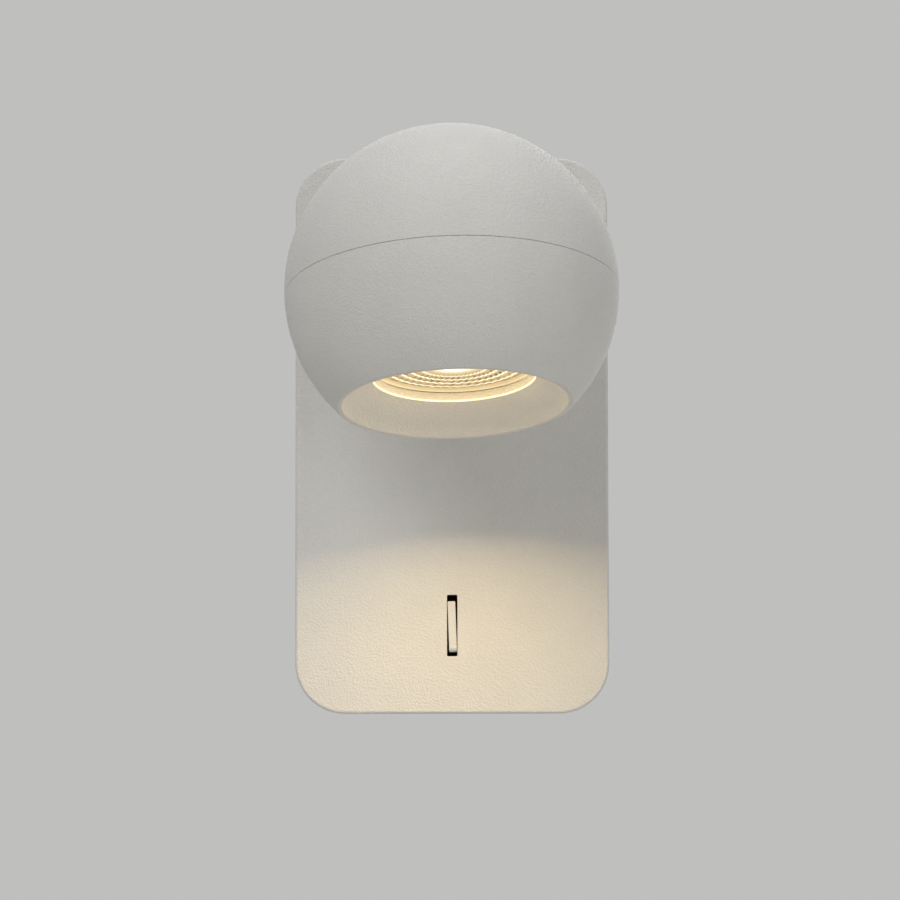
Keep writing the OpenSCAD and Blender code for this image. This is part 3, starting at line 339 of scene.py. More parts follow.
def smooth_route(points, per_span=10):
    """Catmull-Rom curve: a cubic through each pair of points whose slopes come from their neighbours."""
    p = np.asarray(points, float)
    p = np.concatenate([2 * p[:1] - p[1:2], p, 2 * p[-1:] - p[-2:-1]])
    t = np.linspace(0, 1, per_span, endpoint=False)[None, :, None]
    a, b, c, d = (p[i:len(p) - 3 + i, None] for i in range(4))
    slope, bend, twist = c - a, 2 * a - 5 * b + 4 * c - d, 3 * b - a - 3 * c + d
    curve = 0.5 * (2 * b + slope * t + bend * t ** 2 + twist * t ** 3)
    return np.concatenate([curve.reshape(-1, 3), p[-2:-1]])


def lead(points):
    """A round lead: circles square to the route, on two directions across it, with flat ends. No route runs
    along LEAD_ASIDE, so it gives the first direction everywhere."""
    path = smooth_route(points)
    along = np.gradient(path, axis=0)
    along /= np.linalg.norm(along, axis=1, keepdims=True)
    side = np.cross(along, LEAD_ASIDE)
    side /= np.linalg.norm(side, axis=1, keepdims=True)
    over = np.cross(along, side)
    angle = np.linspace(0, 2 * math.pi, LEAD_SIDES, endpoint=False)[None, :, None]
    return loft(path[:, None] + LEAD_R * (np.cos(angle) * side[:, None] + np.sin(angle) * over[:, None]))


def join(solids):
    """Several solids as one list of points and one of faces."""
    starts = np.cumsum([0] + [len(points) for points, _ in solids]).tolist()
    faces = []
    for start, (_, part) in zip(starts, solids):
        faces += [[corner + start for corner in face] for face in part]
    return np.concatenate([points for points, _ in solids]), faces


# Mesh objects.
WELD = 2e-6
SHARP = math.radians(38)


def new_object(name, solids, place):
    """One mesh object at the origin, its place in its points; doubles are merged, faces turned outwards."""
    points, faces = join(solids)
    mesh = bpy.data.meshes.new(name)
    mesh.from_pydata((points @ place[:3, :3].T + place[:3, 3]).tolist(), [], faces)
    work = bmesh.new()
    work.from_mesh(mesh)
    bmesh.ops.remove_doubles(work, verts=work.verts, dist=WELD)
    bmesh.ops.dissolve_degenerate(work, edges=work.edges, dist=WELD)
    bmesh.ops.recalc_face_normals(work, faces=work.faces)
    work.to_mesh(mesh)
    work.free()
    piece = bpy.data.objects.new(name, mesh)
    bpy.context.scene.collection.objects.link(piece)
    return piece


def cut(piece, cutters, place):
    """Takes closed solids away from a piece and keeps the result as its mesh."""
    tools = [new_object("cutter", [solid], place) for solid in cutters]
    for tool in tools:
        step = piece.modifiers.new("cut", "BOOLEAN")
        step.operation = "DIFFERENCE"
        step.solver = "EXACT"
        step.object = tool
    seen = piece.evaluated_get(bpy.context.evaluated_depsgraph_get())
    result = bpy.data.meshes.new_from_object(seen)
    piece.modifiers.clear()
    piece.data = result
    for tool in tools:
        bpy.data.objects.remove(tool)


def add_mesh(piece, other):
    """Moves another object's mesh into a piece."""
    work = bmesh.new()
    work.from_mesh(piece.data)
    work.from_mesh(other.data)
    work.to_mesh(piece.data)
    work.free()
    bpy.data.objects.remove(other)


def head_points(piece):
    """A piece's points in the head's own frame, in millimetres: p - origin along the frame's columns, which are
    a millimetre long."""
    points = np.empty(len(piece.data.vertices) * 3)
    piece.data.vertices.foreach_get("co", points)
    return (points.reshape(-1, 3) - HEAD[:3, 3]) @ HEAD[:3, :3] / MM ** 2


def mark(piece, name, values):
    """A number or a vector on each point of a piece, for its finish to read."""
    kind, field = ("FLOAT", "value") if values.ndim == 1 else ("FLOAT_VECTOR", "vector")
    layer = piece.data.attributes.new(name, kind, "POINT")
    layer.data.foreach_set(field, values.reshape(-1))


def finish_piece(piece, body, slot, node):
    """Smooth shading with sharp edges kept, a finish, a body to ride on and the node the piece stands for."""
    piece.data.shade_smooth()
    piece.data.set_sharp_from_angle(angle=SHARP)
    piece.data.materials.clear()
    piece.data.materials.append(painted_light_finishes.get(node, finishes[slot]).material)
    weighted = piece.modifiers.new("even shading", "WEIGHTED_NORMAL")
    weighted.keep_sharp = True
    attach(piece, body)
    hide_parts(node)


# Finishes: shader maths is written as Python sums on wires.
class Wire:
    """A node's output. Sums of wires and numbers add Math nodes to the tree that the wire belongs to."""

    def __init__(self, nodes, socket):
        self.nodes = nodes
        self.socket = socket

    def math(self, operation, first, second=0.0):
        return self.nodes.node("ShaderNodeMath", {"operation": operation}, {0: first, 1: second})

    def __add__(self, other):
        return self.math("ADD", self, other)

    def __radd__(self, other):
        return self.math("ADD", other, self)

    def __sub__(self, other):
        return self.math("SUBTRACT", self, other)

    def __rsub__(self, other):
        return self.math("SUBTRACT", other, self)

    def __mul__(self, other):
        return self.math("MULTIPLY", self, other)

    def __rmul__(self, other):
        return self.math("MULTIPLY", other, self)

    def sine(self):
        return self.math("SINE", self)

    def ramp(self, low, high, start=0.0, end=1.0):
        """Smooth step from start, at low, to end, at high."""
        settings = {"interpolation_type": "SMOOTHSTEP"}
        return self.nodes.node("ShaderNodeMapRange", settings, {0: self, 1: low, 2: high, 3: start, 4: end})

    def band(self, middle, half):
        """1 at the middle, falling smoothly to 0 at half a band away on either side."""
        return self.math("ABSOLUTE", self - middle).ramp(0, half, 1, 0)


class Nodes:
    """A tree of shader nodes, of a material or of the world."""

    def __init__(self, tree):
        self.tree = tree

    def node(self, kind, settings=None, inputs=None, output=0):
        """Adds a node: its settings first, then the values or links of its sockets."""
        made = self.tree.nodes.new(kind)
        for key, value in (settings or {}).items():
            setattr(made, key, value)
        for key, value in (inputs or {}).items():
            self.feed(made.inputs[key], value)
        return Wire(self, made.outputs[output])

    def feed(self, socket, value):
        """Links a wire to a socket, or sets the socket's own value."""
        if isinstance(value, Wire):
            self.tree.links.new(value.socket, socket)
        else:
            socket.default_value = value

    def end(self, output, factor, first, second):
        """Mixes two shaders into the tree's output node."""
        mixed = self.node("ShaderNodeMixShader", {}, {0: factor, 1: first, 2: second})
        self.feed(self.tree.nodes[output].inputs["Surface"], mixed)

    def seen_directly(self):
        """1 for what the camera sees, straight, in a mirror or through glass, and 0 for light on its way."""
        seen = self.node("ShaderNodeLightPath", output="Is Camera Ray")
        for ray in ("Is Glossy Ray", "Is Transmission Ray"):
            seen = seen.math("MAXIMUM", seen, self.node("ShaderNodeLightPath", output=ray))
        return seen


class Finish(Nodes):
    """A procedural material: one Principled shader whose sockets take numbers, colours or wires."""

    def __init__(self, name, **constants):
        self.material = bpy.data.materials.new(name)
        self.material.use_nodes = True
        super().__init__(self.material.node_tree)
        self.shader = self.tree.nodes["Principled BSDF"]
        for socket, value in constants.items():
            self.set(socket, value)

    def set(self, socket, value):
        """Sets or links one of the shader's sockets, named with _ for its spaces."""
        self.feed(self.shader.inputs[socket.replace("_", " ")], value)

    def attribute(self, name, output="Fac"):
        """What mark() put on the piece's points."""
        return self.node("ShaderNodeAttribute", {"attribute_name": name}, output=output)

    def vector(self, operation, first, output=0, **others):
        """Vector Math on one vector, with its other sockets by name."""
        return self.node("ShaderNodeVectorMath", {"operation": operation}, {0: first, **others}, output)

    def noise(self, size, detail=2.0, roughness=0.5, stretch=(1, 1, 1)):
        """Noise from 0 to 1 on Object coordinates, stretched; its lumps are about size millimetres across."""
        object_place = self.node("ShaderNodeTexCoord", output="Object")
        scale = tuple(factor / MM for factor in stretch)
        place = self.node("ShaderNodeMapping", {}, {"Vector": object_place, "Scale": scale})
        inputs = {"Vector": place, "Scale": 1 / size, "Detail": detail, "Roughness": roughness}
        return self.node("ShaderNodeTexNoise", {}, inputs)

    def blend(self, factor, first, second):
        """Colour between first and second."""
        first, second = ((*colour, 1) if isinstance(colour, tuple) else colour for colour in (first, second))
        return self.node("ShaderNodeMix", {"data_type": "RGBA"}, {0: factor, 6: first, 7: second}, 2)

    def bump(self, height, depth):
        """Surface relief of a height field times a depth in millimetres."""
        relief = {"Height": height, "Distance": depth * MM, "Strength": 1.0}
        self.set("Normal", self.node("ShaderNodeBump", {}, relief))


def powder_coat(name, pale, shade, gloss):
    """Baked powder paint: orange peel 0.6 mm across with a finer grain, faint mottling and uneven gloss."""
    coat = Finish(name, Specular_IOR_Level=0.4)
    peel = coat.noise(size=0.62, detail=2, roughness=0.55)
    grain = coat.noise(size=0.22, detail=1)
    mottle = coat.noise(size=14, detail=3)
    tint = mottle.ramp(0.3, 0.7) * 0.6 + grain.ramp(0.35, 0.65) * 0.4
    coat.set("Base_Color", coat.blend(tint, shade, pale))
    coat.set("Roughness", gloss + 0.1 * peel + 0.06 * mottle)
    coat.bump(peel.ramp(0.3, 0.72) + 0.3 * grain, depth=0.105)
    return coat


def plated(name, pale, dark, rough, size):
    """Plated sheet metal: cloudy bright and dull patches with fine rolling lines along the height."""
    metal = Finish(name, Metallic=1.0)
    cloud = metal.noise(size, detail=4, roughness=0.6)
    lines = metal.noise(size=0.5, detail=2, roughness=0.6, stretch=(1, 1, 0.06))
    metal.set("Base_Color", metal.blend(cloud.ramp(0.3, 0.7), dark, pale))
    metal.set("Roughness", rough + 0.18 * cloud.ramp(0.35, 0.65) + 0.08 * lines)
    metal.bump(lines, depth=0.012)
    return metal


def moulded(name, pale, shade, rough, grain=0.35):
    """Moulded plastic: a fine spark-eroded grain with a faint flow mottling."""
    plastic = Finish(name)
    flow = plastic.noise(size=9, detail=3)
    spark = plastic.noise(grain, detail=2)
    plastic.set("Base_Color", plastic.blend(flow.ramp(0.3, 0.7), shade, pale))
    plastic.set("Roughness", rough + 0.12 * spark)
    plastic.bump(spark, depth=0.02)
    return plastic


def painted_lamplight_glow(finish, attribute, colour):
    """Paints the lamp's light on a rim or an edge as a glow (emission), as far as a point's attribute says, from
    0 to 1: a painted highlight on a part that is no lamp.
    """
    finish.set("Emission_Color", finish.blend(finish.attribute(attribute), (0, 0, 0), colour))
    finish.set("Emission_Strength", 1.0)
    return finish


def glazed_china():
    """White lamp-holder china: soft lumps under the glaze and a few dark specks."""
    china = Finish("china", Coat_Weight=0.6, Coat_Roughness=0.08)
    lumps = china.noise(size=5, detail=2)
    specks = china.noise(size=0.6, detail=1).ramp(0.74, 0.8)
    china.set("Base_Color", china.blend(specks * 0.5, (0.8, 0.79, 0.75), (0.42, 0.38, 0.33)))
    china.set("Roughness", 0.22 + 0.12 * lumps)
    china.bump(lumps, depth=0.08)
    return china


def pressed_fibre():
    """Red-brown fibre board: short tangled threads."""
    board = Finish("fibre")
    threads = board.noise(size=0.4, detail=4, roughness=0.7, stretch=(1, 1, 0.3))
    board.set("Base_Color", board.blend(threads.ramp(0.3, 0.7), (0.1, 0.045, 0.024), (0.2, 0.095, 0.05)))
    board.set("Roughness", 0.7 + 0.15 * threads)
    board.bump(threads, depth=0.04)
    return board


def lamp_glow():
    """Ringed lens with its light on: hot middle, pale zone, bright arcs at the crests of the ridges, dark
    broken dashes on their slopes and on the flange. Noise over 8 times the direction, with 1.3 r as its
    height, gives dashes that run round the lens."""
    glow = Finish("lit_lens", Roughness=0.18, Base_Color=(0.2, 0.17, 0.12, 1), Emission_Strength=1.0)
    spot = glow.attribute("lens_place", "Vector")
    x = glow.node("ShaderNodeSeparateXYZ", {}, {0: spot}, "X")
    y = glow.node("ShaderNodeSeparateXYZ", {}, {0: spot}, "Y")
    r = glow.vector("LENGTH", spot, "Value")
    prisms = (x.math("ARCTAN2", y, x) * LENS_PRISMS).sine().ramp(-0.4, 0.5)
    along = glow.vector("SCALE", glow.vector("NORMALIZE", spot), Scale=8.0)
    across = glow.node("ShaderNodeCombineXYZ", {}, {2: r * 1.3})
    dash_place = glow.node("ShaderNodeVectorMath", {"operation": "ADD"}, {0: along, 1: across})
    dash_inputs = {"Vector": dash_place, "Scale": 1.0, "Detail": 3.0, "Roughness": 0.62}
    dashes = glow.node("ShaderNodeTexNoise", {}, dash_inputs)
    wavy = r + LENS_WAVE * (dashes - 0.5)
    facets = 0.2 + 0.8 * (prisms * dashes.ramp(0.43, 0.51))
    bright = wavy.ramp(*LENS_PALE, LENS_PALE_SHARE, 0)
    dark = wavy.band(LENS_OPTIC_R + FLANGE_DASHES[0], FLANGE_DASHES[1]) * (0.2 + 0.8 * dashes.ramp(0.4, 0.5))
    for ring in range(LENS_RINGS):
        crest = LENS_CORE_R + (ring + 0.5) * LENS_RING_PITCH
        bright = bright + wavy.band(crest + CREST_ARC[0], CREST_ARC[1]) * LENS_RING_GLOW[ring]
        slope = wavy.band(crest + SLOPE_DASHES[0], SLOPE_DASHES[1])
        dark = dark + slope * LENS_RING_DASHES[ring] * facets
    body = glow.blend(bright, (0.58, 0.41, 0.18), (1.4, 1.3, 1.02))
    body = glow.blend(dark, body, (0.045, 0.042, 0.038))
    glow.set("Emission_Color", glow.blend(wavy.ramp(*LENS_HOT, 1, 0), body, (1.8, 1.75, 1.6)))
    return glow


def cable_cover(name, colour, dark, stripe=None):
    """Soft insulation with a slight bloom, and a stripe along one side if it has a second colour."""
    cover = Finish(name)
    bloom = cover.noise(size=1.8, detail=3)
    colour = cover.blend(bloom.ramp(0.35, 0.7), dark, colour)
    if stripe:
        colour = cover.blend(cover.attribute("round_lead").ramp(*LEAD_STRIPE), colour, stripe)
    cover.set("Base_Color", colour)
    cover.set("Roughness", 0.42 + 0.15 * bloom)
    cover.bump(bloom, depth=0.01)
    return cover


PAINT = ((0.8, 0.785, 0.75), (0.765, 0.75, 0.715), 0.5)
housing = moulded("lamp_plastic", (0.6, 0.59, 0.56), (0.52, 0.51, 0.48), 0.4)
earth_colours = ((0.06, 0.3, 0.07), (0.035, 0.2, 0.04), (0.7, 0.55, 0.04))
finishes = {
    "white_paint": powder_coat("white_paint", *PAINT),
    "zinc_steel": plated("zinc_steel", (0.7, 0.715, 0.73), (0.6, 0.61, 0.625), 0.25, 2.4),
    "spring_steel": plated("spring_steel", (0.34, 0.34, 0.35), (0.25, 0.25, 0.26), 0.3, 2),
    "brass": plated("brass", (0.8, 0.6, 0.25), (0.66, 0.47, 0.18), 0.24, 2.5),
    "white_plastic": moulded("white_plastic", (0.74, 0.73, 0.68), (0.68, 0.67, 0.61), 0.38),
    "black_plastic": moulded("black_plastic", (0.03, 0.03, 0.03), (0.02, 0.02, 0.02), 0.5),
    "nylon": moulded("nylon", (0.7, 0.67, 0.58), (0.62, 0.58, 0.49), 0.42, 0.5),
    "black_rubber": moulded("black_rubber", (0.035, 0.034, 0.033), (0.02, 0.02, 0.02), 0.66, 0.5),
    "china": glazed_china(),
    # The housing's front rim gets a painted glow: painted light standing in for the lens's light falling on it.
    "lamp_plastic": painted_lamplight_glow(housing, "painted_rim_glow", (0.62, 0.45, 0.2)),
    "white_board": moulded("white_board", (0.76, 0.76, 0.74), (0.7, 0.7, 0.67), 0.34, 0.3),
    "lit_lens": lamp_glow(),
    "fibre": pressed_fibre(),
    "brown_insulation": cable_cover("brown_insulation", (0.16, 0.07, 0.03), (0.1, 0.042, 0.018)),
    "blue_insulation": cable_cover("blue_insulation", (0.05, 0.16, 0.42), (0.03, 0.1, 0.3)),
    "green_insulation": cable_cover("green_insulation", *earth_colours),
    "white_insulation": cable_cover("white_insulation", (0.76, 0.74, 0.69), (0.66, 0.64, 0.58)),
}
# Single nodes: the spring and the pin behind the slot are painted near black, painted shade that keeps the slot a
# dark gap, and the throat's edge gets a painted highlight, a glow that stands in for the lamp's light on it.
painted_light_finishes = {
    "switch_spring": plated("brass_darkened_as_painted_shade", (0.09, 0.065, 0.035), (0.05, 0.036, 0.02), 0.5, 2),
    "switch_pin": plated("steel_darkened_as_painted_shade", (0.06, 0.06, 0.062), (0.035, 0.035, 0.036), 0.5, 2),
    "front_shell": painted_lamplight_glow(powder_coat("paint_with_painted_edge_glow", *PAINT), "painted_edge_glow", (1.6, 1.28, 0.66)),
}
for node_name, cad_node in frame["nodes"].items():
    for material_slot in cad_node.material_slots:
        material_slot.material = painted_light_finishes.get(node_name, finishes[material_slot.material.name]).material


# Wall plate.
def wall_cover():
    """Tray section as (distance past the outline, height), one ring of the outline for each of its points.
    The slot, whose outer edge flares in a quarter circle, and the holes are then cut."""
    inner = PLATE_DEPTH - PLATE_WALL
    chain = [(-PLATE_CORNER, PLATE_DEPTH), (0, PLATE_DEPTH), (0, 0), (-PLATE_WALL, 0), (-PLATE_WALL, inner),
             (-PLATE_CORNER, inner)]
    edges = eased(chain, (PLATE_EDGE, BACK_EDGE, BACK_EDGE, INNER_EDGE))
    section = np.concatenate([[chain[0]], edges, [chain[-1]]])
    outlines = rounded_outline(PLATE_W / 2, PLATE_H / 2, PLATE_CORNER, section[:, 0], 24)
    piece = new_object("plate", [pillar(outlines, section[:, 1])], WALL)
    below, above = inner - CUT_PAST, PLATE_DEPTH + CUT_PAST
    flare = np.linspace(0, math.pi / 2, 7)[1:]
    grow = np.concatenate([[0, 0], SLOT_EDGE * (1 - np.cos(flare)), [SLOT_EDGE]])
    rise = PLATE_DEPTH - SLOT_EDGE * (1 - np.sin(flare))
    depth = np.concatenate([[below, PLATE_DEPTH - SLOT_EDGE], rise, [above]])
    slot = pillar(rounded_outline(SLOT_W / 2, SLOT_H / 2, SLOT_CORNER, grow, 6), depth)
    bush = rod(BUSH_R + BUSH_FIT, below, above, 64)
    cut(piece, [moved(slot, (0, SLOT_UP, 0)), moved(bush, (0, BALL_UP, 0))], WALL)
    hole_r, hole_end = SCREW_R + SCREW_FIT, -PLATE_WALL - CUT_PAST
    hole = turned_solid(((0, hole_end), (hole_r, hole_end), (hole_r, -PLATE_WALL), (COUNTERSINK_R, 0),
                         (COUNTERSINK_R, CUT_PAST), (0, CUT_PAST)), 48)
    studs = []
    for side in (-1, 1):
        cut(piece, [hole], turned(WALL, 0, -90 * side, (0, side * PLATE_H / 2, COVER_SCREW_OUT)))
        stud_place = (0, SLOT_UP + side * STUD_PITCH / 2, inner - STUD_L)
        studs.append(moved(rod(SCREW_R, 0, STUD_L + STUD_ROOT, 32), stud_place))
    add_mesh(piece, new_object("studs", studs, WALL))
    finish_piece(piece, "base", "white_paint", "wall_cover")


# Shells of the ball.
def arc(radius, low, high, steps):
    """Points of a circle about the axis between two heights, as (distance from the axis, height)."""
    angle = np.linspace(math.asin(low / radius), math.asin(high / radius), steps)
    return np.column_stack([radius * np.cos(angle), radius * np.sin(angle)])


def front_shell():
    """Half section: the ball's arc, the lip, the cone, the throat, the cone's back and the inner arc, turned
    round. The cone's back is the line h = level - slope r, and it meets the inner arc where r^2 + h^2 is its
    radius squared."""
    fall = MOUTH_R - THROAT_R
    run = math.hypot(CONE_DEPTH, fall)
    slope = CONE_DEPTH / fall
    back = (THROAT_R + CONE_WALL * CONE_DEPTH / run, -CONE_Z + CONE_WALL * fall / run)
    level = back[1] + back[0] * slope
    spread = 1 + slope ** 2
    root = math.sqrt((level * slope) ** 2 - spread * (level ** 2 - BALL_RI ** 2))
    meet_r = (level * slope + root) / spread
    meet = (meet_r, level - meet_r * slope)
    sleeve_r = THROAT_R + CONE_WALL
    outer = arc(BALL_R, SEAM_Z - SEAM_HALF, -MOUTH_Z, 72)
    inner = arc(BALL_RI, meet[1], SEAM_Z - SEAM_HALF, 48)
    lip = [outer[-2], outer[-1], (MOUTH_R, -MOUTH_Z), (THROAT_R, -CONE_Z), (THROAT_R, -THROAT_Z),
           (sleeve_r, -THROAT_Z), (sleeve_r, level - sleeve_r * slope), meet, inner[1]]
    seam = [inner[-2], inner[-1], outer[0], outer[1]]
    section = np.concatenate([eased(seam, SEAM_EDGE), outer[1:-1], eased(lip, LIP_EDGES), inner[1:-1]])
    tip_r, back_r, face_r = HOOK_R
    low, base = HOOK_BASE
    nose, top = HOOK_TOP
    corners = ((back_r, low), (BALL_MID_R, low), (BALL_MID_R, base), (face_r, base), (face_r, top),
               (tip_r, top), (tip_r, nose), (back_r, nose))
    hook = eased_loop(corners, HOOK_EDGE, 4)
    solids = [turned_solid(section, 192)]
    for at in (HOOK_AZ, HOOK_AZ + 180):
        solids.append(turned_solid(hook, 12, (at - HOOK_SPAN / 2, at + HOOK_SPAN / 2)))
    piece = new_object("front_half", solids, HEAD)
    # Painted highlight on the throat's edge: 1 at the edge, fading to 0 THROAT_EDGE millimetres away, shown by
    # the finish as a glow.
    x, y, z = head_points(piece).T
    past_edge = np.hypot(np.hypot(x, y) - THROAT_R, z + CONE_Z)
    mark(piece, "painted_edge_glow", np.clip(1 - past_edge / THROAT_EDGE, 0, 1))
    finish_piece(piece, "front", "white_paint", "front_shell")


def stem_slot_outline(half, radius):
    """Slot on a sphere: x = +-half between two tilts, with round ends of that radius, as the sphere's points."""
    low, high = np.radians(STEM_SLOT_TILT)
    side = np.linspace(low, high, 49)
    end = np.linspace(0, math.pi, 73)[1:-1]
    foot = np.linspace(0, math.pi, 41)[1:-1]
    flat = np.sqrt(radius ** 2 - half ** 2)
    x = np.concatenate([0 * side + 1, np.cos(end), 0 * side - 1, -np.cos(foot)])[:, None] * half
    past = np.concatenate([0 * side, np.sin(end), 0 * side, -np.sin(foot)])[:, None] * half
    tilt = np.concatenate([side, 0 * end + high, side[::-1], 0 * foot + low])[:, None]
    y = flat * np.cos(tilt) - past * np.sin(tilt)
    z = flat * np.sin(tilt) + past * np.cos(tilt)
    return np.stack([x, y, z], -1)


def slotted_half():
    """Half ball round the stem's slot. In the flat picture of the ball from its foot, (x, y) / (R + z), each
    point of the slot's edge runs square out to the seam's circle; the two walls and their eased edges form
    one closed band."""
    quarter = np.linspace(0, math.pi / 2, 5)
    rise, fall = 1 - np.cos(quarter), 1 - np.sin(quarter)
    wall = np.linspace(0, 1, 61)
    at_edge, at_wall, e = 0 * quarter, 0 * wall, SEAM_EDGE
    share = np.concatenate([wall, at_edge + 1, at_edge + 1, wall[::-1], at_edge, at_edge])
    radius = np.concatenate([at_wall + BALL_R, BALL_R - e * rise, BALL_RI + e * fall, at_wall + BALL_RI,
                             BALL_RI + e * rise, BALL_R - e * fall])
    widen = np.concatenate([at_wall + e, at_edge, at_edge, at_wall + e, e * fall, e * rise])
    lift = np.concatenate([at_wall + e, e * fall, e * rise, at_wall + e, at_edge, at_edge])
    edge = stem_slot_outline(STEM_SLOT_HALF + widen[None, :], radius[None, :])
    flat = edge[..., :2] / (radius[None, :] + edge[..., 2])[..., None]
    guide = stem_slot_outline(np.full((1, 1), STEM_SLOT_HALF), np.full((1, 1), BALL_R))[:, 0]
    guide = guide[:, :2] / (BALL_R + guide[:, 2:])
    along = np.roll(guide, -1, axis=0) - np.roll(guide, 1, axis=0)
    out = np.column_stack([along[:, 1], -along[:, 0]])
    out *= np.sign((out * (guide - guide.mean(axis=0))).sum(axis=1))[:, None]
    out = (out / np.linalg.norm(out, axis=1, keepdims=True))[:, None]
    seam_z = SEAM_Z + SEAM_HALF + lift
    seam = np.sqrt(radius ** 2 - seam_z ** 2) / (radius + seam_z)
    toward = (flat * out).sum(axis=-1)
    reach = np.sqrt(toward ** 2 - (flat ** 2).sum(axis=-1) + seam[None, :] ** 2) - toward
    spot = flat + (share[None, :] * reach)[..., None] * out
    square = (spot ** 2).sum(axis=-1, keepdims=True)
    ball = np.concatenate([2 * spot, 1 - square], -1) / (1 + square) * radius[None, :, None]
    return loft(ball, closed=True)


def rear_shell():
    """The slotted half ball, a stepped spigot turned round part of the seam, and two bored screw posts."""
    foot, head, step = SEAM_Z - SPIGOT_L, SEAM_Z + SPIGOT_L, SEAM_Z + SEAM_HALF
    lip_r = math.sqrt(BALL_RI ** 2 - foot ** 2) - SPIGOT_GAP
    corners = ((lip_r - SPIGOT_T, foot), (lip_r, foot), (lip_r, step), (BALL_MID_R, step),
               (BALL_MID_R, head), (lip_r - SPIGOT_T, head))
    spigot = turned_solid(eased_loop(corners, SPIGOT_EDGE, 4), 96, SPIGOT_ARC)
    post_top = math.sqrt(BALL_RI ** 2 - (POST_AT + POST_R) ** 2) + BALL_WALL / 2
    bore_r, bore_end = SCREW_R + POST_FIT, POST_FOOT + POST_BORE_L
    post = turned_solid(((bore_r, POST_FOOT), (POST_R, POST_FOOT), (POST_R, post_top), (0, post_top),
                         (0, bore_end), (bore_r, bore_end)), 32)
    across = POST_AT * math.cos(math.radians(POST_AZ))
    down = POST_AT * math.sin(math.radians(POST_AZ))
    posts = [moved(post, (side * across, -down, 0)) for side in (-1, 1)]
    piece = new_object("rear_half", [slotted_half(), spigot] + posts, HEAD)
    finish_piece(piece, "head", "white_paint", "rear_shell")


# Lamp.
def lamp_body():
    """Turned outline: bezel, tapering body and base outside, reflector and board seat inside."""
    pocket = LAMP_R - BEZEL_W
    rim_top = LAMP_FACE + BEZEL_H
    base = LAMP_SEAT - BASE_L
    board = LENS_BACK + REFLECTOR_DEPTH
    corners = ((pocket, LAMP_FACE), (LAMP_R, LAMP_FACE), (LAMP_R, rim_top),
               (LAMP_R - BEZEL_TAPER[0], rim_top + BEZEL_TAPER[1]),
               (BASE_R + BASE_FLARE[0], base - BASE_FLARE[1]), (BASE_R, base), (BASE_R, LAMP_SEAT),
               (0, LAMP_SEAT), (0, board + BOARD_T), (BOARD_R, board + BOARD_T), (BOARD_R, board),
               (pocket - LENS_LEDGE, LENS_BACK), (pocket, LENS_BACK))
    piece = new_object("spot_body", [turned_solid(eased_loop(corners, LAMP_EDGES), 128)], HEAD)
    # Painted glow on the housing's front rim: 1 at the face, fading to 0 over RIM_GLOW millimetres behind it.
    height = head_points(piece)[:, 2]
    mark(piece, "painted_rim_glow", np.clip((LAMP_FACE + RIM_GLOW - height) / RIM_GLOW, 0, 1))
    finish_piece(piece, "head", "lamp_plastic", "lamp_body")


def lamp_lens():
    """Front height over (r, a): a low dome, sine-squared ridges whose crests carry prisms, then the flange;
    the back is flat."""
    r = np.concatenate([np.linspace(0, LENS_CORE_R, 12)[:-1], np.linspace(LENS_CORE_R, LENS_OPTIC_R, 81),
                        np.linspace(LENS_OPTIC_R, LENS_R, 8)[1:]])
    a = np.linspace(0, 2 * math.pi, 288, endpoint=False)[:, None]
    ring = (r - LENS_CORE_R) / LENS_RING_PITCH
    ridge = np.where((ring > 0) & (ring < LENS_RINGS), np.sin(np.pi * (ring % 1)) ** 2, 0)
    core = np.clip(1 - (r / LENS_CORE_R) ** 2, 0, 1)
    prisms = LENS_PRISM_H * ridge * np.cos(LENS_PRISMS * a) * (ridge > LENS_PRISM_FROM)
    front = LENS_FRONT + LENS_RING_H * (1 - np.maximum(ridge, core)) + prisms
    back = np.full((len(a), 2), LENS_BACK)
    section_r = np.concatenate([r, [LENS_R - LENS_BACK_IN, 0]])
    height = np.concatenate([front, back], axis=1)
    rings = np.stack([section_r * np.cos(a), section_r * np.sin(a), height], -1)
    piece = new_object("spot_lens", [loft(rings, closed=True)], HEAD)
    mark(piece, "lens_place", head_points(piece) * (1, 1, 0))
    finish_piece(piece, "head", "lit_lens", "lamp_lens")


# Swivel.
def stem():
    """Turned outline of the hollow stem: threaded ends, body and collar."""
    low, high = STEM_ENDS
    foot, top = STEM_BODY
    corners = ((STEM_BORE_R, low), (STEM_THREAD_R, low), (STEM_THREAD_R, foot), (STEM_R, foot),
               (STEM_R, COLLAR[0]), (COLLAR_R, COLLAR[0]), (COLLAR_R, COLLAR[1]), (STEM_R, COLLAR[1]),
               (STEM_R, top), (STEM_THREAD_R, top), (STEM_THREAD_R, high), (STEM_BORE_R, high))
    piece = new_object("swivel_stem", [turned_solid(eased_loop(corners, STEM_EDGES), 96)], STEM)
    finish_piece(piece, "swivel", "white_paint", "stem")


def stem_bush():
    """Turned outline of the flanged bush."""
    foot, face, top = BUSH_ENDS
    corners = ((BUSH_BORE_R, foot), (BUSH_R, foot), (BUSH_R, face), (BUSH_FLANGE_R, face),
               (BUSH_FLANGE_R, top), (BUSH_BORE_R, top))
    piece = new_object("swivel_bush", [turned_solid(eased_loop(corners, BUSH_EDGES), 96)], STEM)
    finish_piece(piece, "base", "nylon", "stem_bush")


